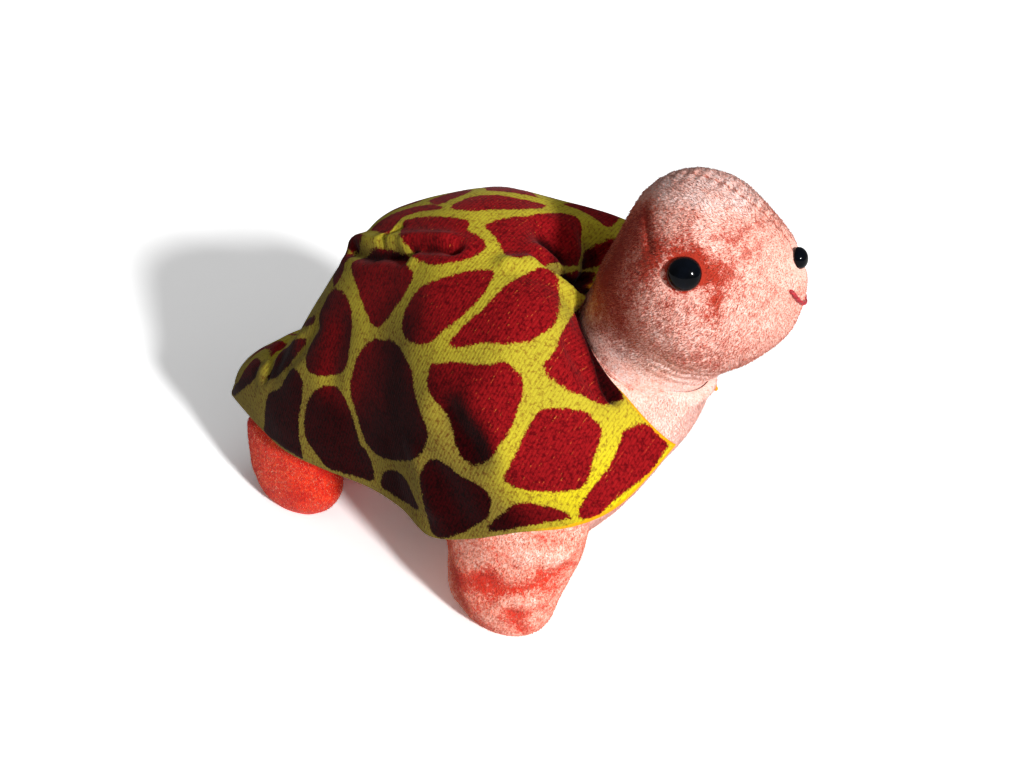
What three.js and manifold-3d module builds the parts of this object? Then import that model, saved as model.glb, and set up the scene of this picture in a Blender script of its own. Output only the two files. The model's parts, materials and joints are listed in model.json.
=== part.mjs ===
// A tortoise hand puppet: a printed velour shell over a padded glove, with a stuffed head,
// two forelegs and two hind legs in plush. Millimetres, +Z up, standing on Z = 0 and looking
// along -Y, so its own left side is +X.
import * as THREE from "three";
import { mergeVertices } from "three/addons/utils/BufferGeometryUtils.js";
import Module from "manifold-3d";

const wasm = await Module();
wasm.setup();

// Fabric, wadding and fit
const clearance = 0.35; // gap between pieces that touch on the real puppet
const coverThickness = 1.4; // printed velour
const waddingCrown = 6; // wadding under the top of the shell
const waddingEdge = 1; // wadding where it thins out at the hem
const liningThickness = 0.8;
const plushThickness = 1.8; // pink plush of the head, belly and legs
const floorCut = 0.5; // depth of the flat that each paw rests on

// Shell
const rearTipY = 118; // the shell's tail end
const shellLength = 203; // from the tail end to the collar's front corners
const shellHalfWidth = 63; // at the shoulders
const hemHeight = 42; // hem of the shell above the floor
const crownRise = 102; // top of the shell above the hem
const bellyDrop = 21; // belly panel below the hem

// Neck and head
const neckSetback = 20; // neck root behind the collar's front corners
const neckRootRise = 60; // neck root above the hem
const neckRadius = 24.5;
const neckLength = 33.6; // from the neck root's centre to the head's centre
const neckLean = 30; // degrees from upright, towards the front
const headRadius = 34;
const headBack = 0.85; // depth of the back of the head as a share of its radius
const bandTop = -1.5; // top edge of the neck band along the neck
const bandBottom = -14;
const neckMouthRadius = 18; // where the fingers go in
const pocketWaistRise = 5; // the finger pocket's waist above the neck root
const pocketWaistRadius = 12.5;
const pocketTipRadius = 11;
const pocketTipPastCentre = 4; // how far the finger pocket runs past the head's centre

// Face
const eyeDiameter = 10.5;
const eyeTurn = 81; // degrees round from the nose's side of the head
const eyeRise = 20; // degrees above the head's centre
const noseDiameter = 7;
const noseRise = 18;
const rimHeight = 0.12; // straight rim of a bead, as a share of its radius
const undersideWidth = 0.94; // radius of its underside
const domeSquash = 0.78; // height of its dome
const shankRadius = 1.5;
const shankLength = 8;
const washerThickness = 1.2;
const washerOverhang = 1; // washer radius beyond the bead's
const smileWidth = 19;
const smileDepth = 7.4;
const smileRise = 5.5; // degrees, of the smile's ends from the head's centre
const threadRadius = 0.6;

// Legs
// Each ring: share of the way down, then thickness and width as shares of the root's
const foreleg = {
  rootY: -38, rootRise: 20, rootRadius: 26, rootHeight: 26, halfThickness: 17, splay: 4,
  rings: [[0.3, 1, 1], [0.55, 0.93, 0.93], [0.78, 0.8, 0.85], [0.92, 0.6, 0.72], [1, 0.27, 0.38]],
  reach: [-20, 28],
};
const hindleg = {
  rootY: 79, rootRise: -8, rootRadius: 22, rootHeight: 11, halfThickness: 9.5, splay: 3,
  rings: [[0.35, 1, 1], [0.62, 0.9, 0.96], [0.85, 0.62, 0.74], [1, 0.28, 0.37]],
  reach: [-15, 7],
};
const rightForelegSwing = 9.5; // degrees back from straight down, as it stands
const leftForelegSwing = 25;
const hindlegSwing = 0;
const legMouthRadius = 7; // opening at the top of each leg, where it was stuffed
const legPlay = 1.5; // room between a leg's root and the wall it hangs beside

// Opening for the hand
const handOpening = { y: 20, halfWidth: 30, halfLength: 31 };
const bindingRadius = 1.6;
const bindingSlack = 0.3; // the binding is rolled this much tighter than its edge
const sweepRoom = 1.5; // room around the space that a swinging leg needs

const colours = {
  cover: 0x8c1a1e, wadding: 0xf2efe8, lining: 0xd9cfa6, plush: 0xf0b4a4, hindPlush: 0xec6a4a,
  stuffing: 0xf7f5f0, bead: 0x0b0c10, washer: 0xe9e9e6, thread: 0xc8202a, binding: 0xe7a898,
};

// Stations from the tail end to the collar. Lengths are shares of shellLength, half-widths of
// shellHalfWidth, rises of crownRise and drops of bellyDrop.
// hem along, hem half-width, hem rise, crest along, crest rise, bulge, roundness, shoulder,
// keel along, keel drop
const stations = [
  [0, 0.06, -0.04, 0, -0.01, 0.05, 0.9, 0, 0.01, 0.19],
  [0.074, 0.24, -0.01, 0.044, 0.137, 0.1, 0.85, 0, 0.074, 0.19],
  [0.158, 0.41, 0, 0.123, 0.255, 0.12, 0.85, 0, 0.158, 0.33],
  [0.256, 0.57, 0, 0.207, 0.353, 0.12, 0.85, 0, 0.256, 0.52],
  [0.355, 0.635, 0, 0.281, 0.585, 0.12, 0.85, 0, 0.355, 0.71],
  [0.463, 0.68, 0, 0.379, 0.845, 0.12, 0.85, 0, 0.463, 0.86],
  [0.552, 0.78, 0, 0.488, 0.955, 0.12, 0.85, 0, 0.552, 0.95],
  [0.64, 0.95, 0.005, 0.591, 1, 0.12, 0.85, 0.02, 0.64, 1],
  [0.729, 1, 0.07, 0.68, 0.955, 0.12, 0.85, 0.055, 0.729, 1],
  [0.818, 0.985, 0.145, 0.744, 0.87, 0.12, 0.85, 0.12, 0.828, 0.76],
  [0.897, 0.87, 0.175, 0.778, 0.79, 0.15, 0.9, 0.17, 0.911, 0],
  [0.956, 0.71, 0.24, 0.793, 0.725, 0.3, 1, 0.14, 0.975, -1],
  [1, 0.35, 0.353, 0.803, 0.676, 0.7, 1.3, 0.03, 1.012, -2.19],
];
const shellRows = 20;
const shellColumns = 14;

// A smooth curve through one column of the stations
function column(index) {
  const curve = new THREE.SplineCurve(stations.map((row, n) => new THREE.Vector2(n, row[index])));
  return (t) => curve.getPoint(t).y;
}

const [hemAlong, hemHalf, hemRise, crestAlong, crestRise, bulge, roundness, shoulder,
  keelAlong, keelDrop] = stations[0].map((value, index) => column(index));
const alongToY = (share) => rearTipY - shellLength * share;

// Outer face of the shell: t runs from the tail end to the collar, turn from -1 at the right hem
// over 0 at the crest to 1 at the left hem
function shellFace(t, turn) {
  const angle = turn * Math.PI / 2;
  const side = Math.sin(angle);
  const up = Math.max(Math.cos(angle), 0);
  const lift = up ** roundness(t);
  const hemY = alongToY(hemAlong(t));
  const crestY = alongToY(crestAlong(t));
  const rise = hemRise(t) + (crestRise(t) - hemRise(t)) * lift + shoulder(t) * Math.sin(2 * angle) ** 2;
  return new THREE.Vector3(
    shellHalfWidth * hemHalf(t) * side * (1 + bulge(t) * up),
    hemY + (crestY - hemY) * lift,
    hemHeight + crownRise * rise,
  );
}

// Outward direction of a surface with these two parameters
function faceNormal(face, t, turn) {
  const step = 0.004;
  const a = Math.min(Math.max(t, step), 1 - step);
  const b = Math.min(Math.max(turn, -0.98), 0.98);
  const alongT = face(a + step, b).sub(face(a - step, b));
  const alongTurn = face(a, b + step).sub(face(a, b - step));
  return alongT.cross(alongTurn).normalize();
}

const shellInside = (t, turn, depth) =>
  shellFace(t, turn).addScaledVector(faceNormal(shellFace, t, turn), -depth);

// Depths of the shell's layers below its outer face
function waddingThickness(t, turn) {
  const lengthwise = Math.sin(Math.PI * Math.min(Math.max(t, 0), 1)) ** 0.6;
  const crosswise = Math.max(Math.cos(turn * Math.PI / 2), 0) ** 0.8;
  return waddingEdge + (waddingCrown - waddingEdge) * lengthwise * crosswise;
}
const waddingTop = coverThickness + clearance;
const waddingUnder = (t, turn) => waddingTop + waddingThickness(t, turn);
const liningTop = (t, turn) => waddingUnder(t, turn) + clearance;
const liningUnder = (t, turn) => liningTop(t, turn) + liningThickness;

// Solids from meshes, and meshes from solids
function toSolid(geometry) {
  const bare = geometry.clone();
  bare.deleteAttribute("normal");
  bare.deleteAttribute("uv");
  const merged = mergeVertices(bare, 1e-4);
  return new wasm.Manifold(new wasm.Mesh({
    numProp: 3,
    vertProperties: new Float32Array(merged.attributes.position.array),
    triVerts: new Uint32Array(merged.index.array),
  }));
}

function toGeometry(solid) {
  const mesh = solid.getMesh();
  const geometry = new THREE.BufferGeometry();
  geometry.setAttribute("position", new THREE.BufferAttribute(mesh.vertProperties, 3));
  geometry.setIndex(new THREE.BufferAttribute(mesh.triVerts, 1));
  return geometry;
}

// What is left of a solid without the crumbs that its cuts leave at an edge
function largestBody(solid) {
  const bodies = solid.decompose();
  return bodies.sort((a, b) => b.volume() - a.volume())[0];
}

function placed(geometry, matrix) {
  return toSolid(geometry.clone().applyMatrix4(matrix));
}

function fromTriangles(points, faces) {
  const geometry = new THREE.BufferGeometry();
  const flat = points.flatMap((point) => [point.x, point.y, point.z]);
  geometry.setAttribute("position", new THREE.Float32BufferAttribute(flat, 3));
  geometry.setIndex(faces);
  return geometry;
}

// A closed sheet between an upper and a lower face over the same rows and columns
function sheet(upper, lower, rows, columns, firstRow = 0) {
  const points = [];
  const faces = [];
  for (const face of [upper, lower]) {
    for (let i = firstRow; i <= rows; i++) {
      for (let j = 0; j <= columns; j++) points.push(face(i / rows, 2 * j / columns - 1));
    }
  }
  const wide = columns + 1;
  const tall = rows - firstRow + 1;
  const half = wide * tall;
  const quad = (a, b, c, d) => faces.push(a, b, c, a, c, d);
  for (let i = 0; i < tall - 1; i++) {
    for (let j = 0; j < columns; j++) {
      const a = i * wide + j;
      quad(a, a + wide, a + wide + 1, a + 1);
      quad(half + a, half + a + 1, half + a + wide + 1, half + a + wide);
    }
  }
  for (let i = 0; i < tall - 1; i++) {
    const right = i * wide;
    const left = i * wide + columns;
    quad(right, half + right, half + right + wide, right + wide);
    quad(left, left + wide, half + left + wide, half + left);
  }
  for (let j = 0; j < columns; j++) {
    const tail = j;
    const front = (tall - 1) * wide + j;
    quad(tail, tail + 1, half + tail + 1, half + tail);
    quad(front, half + front, half + front + 1, front + 1);
  }
  return fromTriangles(points, faces);
}

// Neck: its root sits in the collar, and its own frame has +Y along the neck
const neckRoot = new THREE.Vector3(
  0,
  alongToY(1) + neckSetback,
  hemHeight + neckRootRise,
);
const lean = THREE.MathUtils.degToRad(neckLean);
const neckFrame = new THREE.Group();
neckFrame.position.copy(neckRoot);
neckFrame.rotation.x = Math.PI / 2 + lean;
neckFrame.updateMatrixWorld(true);
const headCentre = new THREE.Vector3(0, neckLength, 0);
const bandOuterRadius = neckRadius + clearance + plushThickness;

function arc(centre, radius, from, to, steps) {
  const points = [];
  for (let k = 0; k <= steps; k++) {
    const angle = from + (to - from) * k / steps;
    points.push(new THREE.Vector2(radius * Math.cos(angle), centre + radius * Math.sin(angle)));
  }
  return points;
}

// Outline of the neck and head from the mouth of the neck to the crown, drawn in by inset
function headOutline(inset, steps) {
  const neck = neckRadius - inset;
  const head = headRadius - inset;
  const crease = (neckLength ** 2 + neck ** 2 - head ** 2) / (2 * neckLength);
  const creaseRadius = Math.sqrt(neck ** 2 - crease ** 2);
  const mouth = -Math.acos(neckMouthRadius / neck);
  const lower = arc(0, neck, mouth, Math.asin(crease / neck), Math.ceil(steps / 2));
  const upper = arc(neckLength, head, -Math.acos(creaseRadius / head), Math.PI / 2, steps);
  upper[0].set(creaseRadius, crease);
  upper[steps].x = 0;
  return [...lower.slice(0, -1), ...upper];
}

// Outline of the finger pocket, from the neck's mouth to its tip, drawn out by outset
function pocketOutline(outset) {
  const mouthDepth = -Math.sqrt(neckRadius ** 2 - neckMouthRadius ** 2);
  const tip = neckLength + pocketTipPastCentre;
  const mouth = neckMouthRadius - plushThickness - clearance - liningThickness;
  const shoulder = Math.cos(Math.PI / 5);
  const reach = pocketTipRadius + outset;
  return [
    new THREE.Vector2(mouth + outset, mouthDepth),
    new THREE.Vector2(pocketWaistRadius + outset, pocketWaistRise),
    new THREE.Vector2(reach, tip - pocketTipRadius),
    new THREE.Vector2(reach * shoulder, tip - pocketTipRadius + reach * Math.sin(Math.PI / 5)),
    new THREE.Vector2(0, tip + outset),
  ];
}

const headSegments = 20;
const roundSegments = 16;
const lathe = (outline) => new THREE.LatheGeometry([...outline, outline[0].clone()], headSegments);

// The back of the head is flatter than its face: it flattens above the neck and is round again
// at the crown
function flattenBack(geometry) {
  const position = geometry.attributes.position;
  const starts = neckLength - headRadius * 0.8;
  const ends = neckLength + headRadius * 0.8;
  for (let n = 0; n < position.count; n++) {
    const z = position.getZ(n);
    const y = position.getY(n);
    const flat = THREE.MathUtils.smoothstep(y, starts, neckLength)
      * (1 - THREE.MathUtils.smoothstep(y, neckLength, ends));
    if (z < 0) position.setZ(n, z * (1 + (headBack - 1) * flat));
  }
  return geometry;
}

// A face piece's place: on the head's surface, its own +Y outward
function facePlace(turnDegrees, riseDegrees, distance) {
  const turn = THREE.MathUtils.degToRad(turnDegrees);
  const rise = THREE.MathUtils.degToRad(riseDegrees);
  const outward = new THREE.Vector3(
    Math.sin(turn) * Math.cos(rise),
    -Math.cos(turn) * Math.cos(rise),
    Math.sin(rise),
  );
  outward.applyQuaternion(neckFrame.quaternion.clone().invert());
  const turned = new THREE.Quaternion().setFromUnitVectors(new THREE.Vector3(0, 1, 0), outward);
  const at = outward.clone().multiplyScalar(distance).add(headCentre);
  return new THREE.Matrix4().compose(at, turned, new THREE.Vector3(1, 1, 1));
}

const beads = [
  { name: "eye_right", washer: "eye_washer_right", turn: -eyeTurn, rise: eyeRise, radius: eyeDiameter / 2 },
  { name: "eye_left", washer: "eye_washer_left", turn: eyeTurn, rise: eyeRise, radius: eyeDiameter / 2 },
  { name: "nose_bead", washer: "nose_washer", turn: 0, rise: noseRise, radius: noseDiameter / 2 },
];

// A bead: a glossy dome on a shank, with the underside of its dome at its origin
function beadGeometry(radius) {
  const steps = 4;
  const dome = arc(radius * rimHeight, radius, 0, Math.PI / 2, steps);
  for (const point of dome) point.y *= domeSquash;
  dome[steps].x = 0;
  return new THREE.LatheGeometry([
    new THREE.Vector2(0, -shankLength),
    new THREE.Vector2(shankRadius, -shankLength),
    new THREE.Vector2(shankRadius, 0),
    new THREE.Vector2(radius * undersideWidth, 0),
    ...dome,
  ], roundSegments);
}

// Distance from the head's centre to a washer's outer face, against the skin's inner side, whose
// flat facets lie a little inside the round, both across and along
function washerSeat(radius) {
  const inside = (headRadius - plushThickness) * Math.cos(Math.PI / headSegments) ** 2 - clearance;
  return Math.sqrt(inside ** 2 - (radius + washerOverhang) ** 2);
}

function rod(radius, from, to, place) {
  const geometry = new THREE.CylinderGeometry(radius, radius, to - from, roundSegments);
  geometry.translate(0, (from + to) / 2, 0);
  return placed(geometry, place);
}

function headSkin() {
  const outer = headOutline(0, 9);
  const inner = headOutline(plushThickness, 8).reverse();
  let solid = toSolid(flattenBack(lathe([...outer, ...inner])));
  for (const bead of beads) {
    const place = facePlace(bead.turn, bead.rise, headRadius);
    solid = solid.subtract(rod(shankRadius + clearance, -shankLength, shankLength, place));
  }
  return toGeometry(solid);
}

function headStuffing() {
  const outer = headOutline(plushThickness + clearance, 8);
  const inner = pocketOutline(liningThickness + clearance).reverse();
  let solid = toSolid(flattenBack(lathe([...outer, ...inner])));
  for (const bead of beads) {
    const place = facePlace(bead.turn, bead.rise, 0);
    const seat = washerSeat(bead.radius);
    const shankEnd = headRadius + clearance - shankLength;
    const washerEnd = seat - washerThickness;
    const washerRoom = bead.radius + washerOverhang + clearance;
    solid = solid.subtract(rod(shankRadius + clearance, shankEnd - clearance, headRadius, place));
    solid = solid.subtract(rod(washerRoom, washerEnd - clearance, headRadius, place));
  }
  return toGeometry(solid);
}

function washerGeometry(radius) {
  const rim = radius + washerOverhang;
  const bore = shankRadius + clearance;
  return new THREE.LatheGeometry([
    new THREE.Vector2(bore, 0),
    new THREE.Vector2(bore, -washerThickness),
    new THREE.Vector2(rim, -washerThickness),
    new THREE.Vector2(rim, 0),
    new THREE.Vector2(bore, 0),
  ], roundSegments);
}

function fingerSleeve() {
  return flattenBack(lathe([...pocketOutline(liningThickness), ...pocketOutline(0).reverse()]));
}

function neckBand() {
  const inner = neckRadius + clearance;
  const arcOf = (radius) =>
    arc(0, radius, Math.asin(bandBottom / radius), Math.asin(bandTop / radius), 3);
  return lathe([...arcOf(bandOuterRadius), ...arcOf(inner).reverse()]);
}

// The smile: one thread that lies on the head below the nose
class Smile extends THREE.Curve {
  getPoint(t, target = new THREE.Vector3()) {
    const k = 2 * t - 1;
    const reach = headRadius + clearance + threadRadius;
    const sag = THREE.MathUtils.radToDeg(smileDepth / headRadius) * (1 - k * k);
    const rise = smileRise - sag;
    const turn = THREE.MathUtils.radToDeg(Math.asin(k * smileWidth / 2 / reach));
    return target.setFromMatrixPosition(facePlace(turn, rise, reach));
  }
}

function smileThread() {
  const section = new THREE.Shape().absarc(0, 0, threadRadius, 0, 2 * Math.PI);
  return new THREE.ExtrudeGeometry(section, { steps: 12, curveSegments: 6, extrudePath: new Smile() });
}

// Half the room between the lining's two sides at this place, found on a fine grid of its face
function roomHalf(y, z) {
  const along = 80;
  const around = 40;
  let best = Infinity;
  let half = 0;
  for (let i = 0; i <= along; i++) {
    for (let j = 0; j <= around; j++) {
      const t = i / along;
      const turn = j / around;
      const point = shellInside(t, turn, liningUnder(t, turn));
      const away = Math.hypot(point.y - y, point.z - z);
      if (away < best) {
        best = away;
        half = point.x;
      }
    }
  }
  return half;
}

// Legs hang from a round root inside the shell; side is -1 for the right leg and 1 for the left
function legPivot(leg, side) {
  const z = hemHeight + leg.rootRise;
  const x = roomHalf(leg.rootY, z) - clearance - legPlay - leg.halfThickness;
  return new THREE.Vector3(side * x, leg.rootY, z);
}

const legSegments = 14;
const thinnestInside = 1; // least half-width of a leg's inner form, at its toes

// Rings of a leg below its pivot, drawn in by inset and reaching down by drop
function legGeometry(leg, side, drop, inset) {
  const rings = [];
  const rootSteps = 4;
  for (let k = 1; k <= rootSteps; k++) {
    const angle = k / rootSteps * Math.PI / 2;
    rings.push({
      z: (leg.rootHeight - inset) * Math.cos(angle),
      x: (leg.halfThickness - inset) * Math.sin(angle),
      y: (leg.rootRadius - inset) * Math.sin(angle),
      out: 0,
    });
  }
  for (const [share, thick, wide] of leg.rings) {
    const near = Math.min(drop * share, drop - inset);
    rings.push({
      z: -near,
      x: Math.max(leg.halfThickness * thick - inset, thinnestInside),
      y: Math.max(leg.rootRadius * wide - inset, thinnestInside),
      out: side * leg.splay * share * share,
    });
  }
  const points = [new THREE.Vector3(0, 0, leg.rootHeight - inset)];
  for (const ring of rings) {
    for (let j = 0; j < legSegments; j++) {
      const angle = j / legSegments * 2 * Math.PI;
      points.push(new THREE.Vector3(
        ring.out + ring.x * Math.cos(angle),
        ring.y * Math.sin(angle),
        ring.z,
      ));
    }
  }
  const last = rings[rings.length - 1];
  points.push(new THREE.Vector3(last.out, 0, last.z));
  const faces = [];
  const at = (ring, j) => 1 + ring * legSegments + j % legSegments;
  for (let j = 0; j < legSegments; j++) {
    faces.push(0, at(0, j), at(0, j + 1));
    for (let i = 0; i < rings.length - 1; i++) {
      faces.push(at(i, j), at(i + 1, j), at(i + 1, j + 1));
      faces.push(at(i, j), at(i + 1, j + 1), at(i, j + 1));
    }
    faces.push(points.length - 1, at(rings.length - 1, j + 1), at(rings.length - 1, j));
  }
  return fromTriangles(points, faces);
}

function legPlace(pivot, swingDegrees) {
  const swing = new THREE.Quaternion().setFromAxisAngle(
    new THREE.Vector3(1, 0, 0), THREE.MathUtils.degToRad(swingDegrees),
  );
  return new THREE.Matrix4().compose(pivot, swing, new THREE.Vector3(1, 1, 1));
}

// Everything below a level
function floorBlock(level) {
  const width = 3 * shellLength;
  const block = new THREE.BoxGeometry(width, width, width);
  block.translate(0, 0, level - width / 2);
  return toSolid(block);
}

// A leg's drop along its own length, so that it reaches the floor at the angle it stands at
const legDrop = (pivot, swingDegrees) =>
  (pivot.z + floorCut) / Math.cos(THREE.MathUtils.degToRad(swingDegrees));

function legForm(leg, side, pivot, swingDegrees, inset) {
  const geometry = legGeometry(leg, side, legDrop(pivot, swingDegrees), inset);
  return placed(geometry, legPlace(pivot, swingDegrees));
}

function legSkin(leg, side, pivot, swingDegrees) {
  const outer = legForm(leg, side, pivot, swingDegrees, 0).subtract(floorBlock(0));
  const core = legForm(leg, side, pivot, swingDegrees, plushThickness);
  const mouth = new THREE.CylinderGeometry(legMouthRadius, legMouthRadius, leg.rootHeight, roundSegments);
  mouth.rotateX(Math.PI / 2);
  mouth.translate(0, 0, leg.rootHeight);
  return toGeometry(outer
    .subtract(core.subtract(floorBlock(plushThickness)))
    .subtract(placed(mouth, legPlace(pivot, swingDegrees))));
}

function legStuffing(leg, side, pivot, swingDegrees) {
  const form = legForm(leg, side, pivot, swingDegrees, plushThickness + clearance);
  return toGeometry(form.subtract(floorBlock(plushThickness + clearance)));
}

// Everything that a leg sweeps between its limits, with room around it
function legSweep(leg, side, pivot, swingDegrees) {
  const geometry = legGeometry(leg, side, legDrop(pivot, swingDegrees), -sweepRoom);
  const angles = 4;
  let sweep = null;
  for (let k = 0; k <= angles; k++) {
    const angle = leg.reach[0] + (leg.reach[1] - leg.reach[0]) * k / angles;
    const form = placed(geometry, legPlace(pivot, angle));
    sweep = sweep ? sweep.add(form) : form;
  }
  return sweep;
}

// Belly panel: hangs between the two hems, and rises at the front to the throat
const seamColumn = 1 - 2 / shellColumns; // the shell's last column line above the hem
const bellySeat = 0.5; // share of the way from that line to the hem where the panel is sewn in
const bellyTaper = 0.08; // how much the panel draws in below its seam
const bellyTuck = 0.4; // share of the way to the neck root that its front edge turns in
const liningFace = (t, turn) => shellInside(t, turn, liningUnder(t, turn) + clearance);
function bellyDrape(t, turn) {
  const angle = turn * Math.PI / 2;
  const edge = liningFace(t, seamColumn).lerp(liningFace(t, 1), bellySeat);
  const down = Math.max(Math.cos(angle), 0);
  const keelY = alongToY(keelAlong(t));
  const keelZ = hemHeight - bellyDrop * keelDrop(t);
  return new THREE.Vector3(
    edge.x * Math.sin(angle) * (1 - bellyTaper * down),
    edge.y + (keelY - edge.y) * down,
    edge.z + (keelZ - edge.z) * down,
  );
}
const bellyRows = shellRows + 1;
const lastRow = shellRows / bellyRows;
function bellyFace(t, turn) {
  const point = bellyDrape(Math.min(t / lastRow, 1), turn);
  return t > lastRow + 1e-6 ? point.lerp(neckRoot, bellyTuck) : point;
}
const bellyInside = (t, turn) =>
  bellyFace(t, turn).addScaledVector(faceNormal(bellyFace, t, turn), plushThickness);

const bellyFirstRow = 2;
const openingSteps = 28;

// A point beside the opening's edge, halfway through the panel, found by halving
function handOpeningPoint(angle, inset) {
  const x = (handOpening.halfWidth - inset) * Math.cos(angle);
  const y = handOpening.y + (handOpening.halfLength - inset) * Math.sin(angle);
  let low = 0;
  let high = 1;
  let point = null;
  for (let k = 0; k < 30; k++) {
    const t = (low + high) / 2;
    const half = bellyFace(t, 1).x;
    const turn = Math.asin(Math.min(Math.abs(x) / half, 1)) * 2 / Math.PI;
    point = bellyFace(t, turn);
    if (point.y > y) low = t;
    else high = t;
  }
  return new THREE.Vector3(x, y, point.z + plushThickness / 2);
}

function openingPrism() {
  const shape = new THREE.Shape();
  shape.absellipse(0, handOpening.y, handOpening.halfWidth, handOpening.halfLength, 0, 2 * Math.PI);
  return toSolid(new THREE.ExtrudeGeometry(shape, {
    depth: hemHeight,
    bevelEnabled: false,
    curveSegments: openingSteps,
  }));
}

// The rolled binding that edges the hand's opening
function openingBinding() {
  const around = openingSteps;
  const sides = 6;
  const points = [];
  const faces = [];
  const middle = [];
  for (let k = 0; k < around; k++) {
    middle.push(handOpeningPoint(k / around * 2 * Math.PI, bindingRadius + clearance + bindingSlack));
  }
  for (let k = 0; k < around; k++) {
    const along = middle[(k + 1) % around].clone().sub(middle[(k + around - 1) % around]).normalize();
    const outward = along.clone().cross(new THREE.Vector3(0, 0, 1)).normalize();
    const upward = outward.clone().cross(along).normalize();
    for (let j = 0; j < sides; j++) {
      const angle = j / sides * 2 * Math.PI;
      points.push(middle[k].clone()
        .addScaledVector(outward, bindingRadius * Math.cos(angle))
        .addScaledVector(upward, bindingRadius * Math.sin(angle)));
      const next = (k + 1) % around * sides;
      const turned = (j + 1) % sides;
      faces.push(k * sides + j, next + j, next + turned);
      faces.push(k * sides + j, next + turned, k * sides + turned);
    }
  }
  return fromTriangles(points, faces);
}

// Assembly
const puppet = new THREE.Group();

const cloth = (colour) =>
  new THREE.MeshStandardMaterial({ color: colour, roughness: 0.95, metalness: 0 });
const plastic = (colour, roughness) =>
  new THREE.MeshStandardMaterial({ color: colour, roughness, metalness: 0 });

function addMesh(parent, name, geometry, material) {
  const mesh = new THREE.Mesh(geometry, material);
  mesh.name = name;
  parent.add(mesh);
  return mesh;
}

const neckBall = new THREE.SphereGeometry(
  bandOuterRadius + clearance,
  3 * roundSegments,
  2 * roundSegments,
);
const neckRoom = placed(neckBall, new THREE.Matrix4().setPosition(neckRoot));

const legs = [
  { name: "foreleg_right", form: foreleg, side: -1, swing: rightForelegSwing },
  { name: "foreleg_left", form: foreleg, side: 1, swing: leftForelegSwing },
  { name: "hindleg_right", form: hindleg, side: -1, swing: hindlegSwing },
  { name: "hindleg_left", form: hindleg, side: 1, swing: hindlegSwing },
];

function shellLayer(upper, lower, firstRow) {
  const solid = toSolid(sheet(upper, lower, shellRows, shellColumns, firstRow));
  return toGeometry(solid.subtract(neckRoom));
}

addMesh(puppet, "shell_cover", shellLayer(
  shellFace,
  (t, turn) => shellInside(t, turn, coverThickness),
  0,
), cloth(colours.cover));
addMesh(puppet, "shell_wadding", shellLayer(
  (t, turn) => shellInside(t, turn, waddingTop),
  (t, turn) => shellInside(t, turn, waddingUnder(t, turn)),
  1,
), cloth(colours.wadding));
addMesh(puppet, "glove_lining", shellLayer(
  (t, turn) => shellInside(t, turn, liningTop(t, turn)),
  (t, turn) => shellInside(t, turn, liningUnder(t, turn)),
  1,
), cloth(colours.lining));

const layersRoom = toSolid(sheet(
  shellFace,
  (t, turn) => shellInside(t, turn, liningUnder(t, turn) + clearance / 2),
  shellRows,
  shellColumns,
));
let belly = toSolid(sheet(bellyInside, bellyFace, bellyRows, shellColumns - 2, bellyFirstRow));
for (const shift of [[0, 0, 0], [0, -clearance, 0], [0, -clearance, clearance]]) {
  belly = belly.subtract(layersRoom.translate(shift));
}
belly = belly.subtract(neckRoom).subtract(openingPrism());
for (const leg of legs) {
  leg.pivot = legPivot(leg.form, leg.side);
  belly = belly.subtract(legSweep(leg.form, leg.side, leg.pivot, leg.swing));
}
addMesh(puppet, "belly_panel", toGeometry(largestBody(belly)), cloth(colours.plush));
addMesh(puppet, "opening_binding", openingBinding(), cloth(colours.binding));

addMesh(neckFrame, "neck_band", neckBand(), cloth(colours.plush));
addMesh(neckFrame, "head_skin", headSkin(), cloth(colours.plush));
addMesh(neckFrame, "head_stuffing", headStuffing(), cloth(colours.stuffing));
addMesh(neckFrame, "finger_sleeve", fingerSleeve(), cloth(colours.lining));
for (const bead of beads) {
  const mesh = addMesh(neckFrame, bead.name, beadGeometry(bead.radius), plastic(colours.bead, 0.08));
  const place = facePlace(bead.turn, bead.rise, headRadius + clearance);
  place.decompose(mesh.position, mesh.quaternion, mesh.scale);
  const washer = addMesh(neckFrame, bead.washer, washerGeometry(bead.radius), plastic(colours.washer, 0.4));
  const seat = facePlace(bead.turn, bead.rise, washerSeat(bead.radius));
  seat.decompose(washer.position, washer.quaternion, washer.scale);
}
addMesh(neckFrame, "smile_thread", smileThread(), cloth(colours.thread));
puppet.add(neckFrame);

for (const leg of legs) {
  const colour = leg.form === hindleg ? colours.hindPlush : colours.plush;
  const skin = legSkin(leg.form, leg.side, leg.pivot, leg.swing);
  const stuffing = legStuffing(leg.form, leg.side, leg.pivot, leg.swing);
  addMesh(puppet, `${leg.name}_skin`, skin, cloth(colour));
  addMesh(puppet, `${leg.name}_stuffing`, stuffing, cloth(colours.stuffing));
}

export default puppet;
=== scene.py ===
import json
import math

import bmesh
import bpy
import numpy as np
from mathutils import Matrix, Vector, noise
from mathutils.kdtree import KDTree


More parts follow.
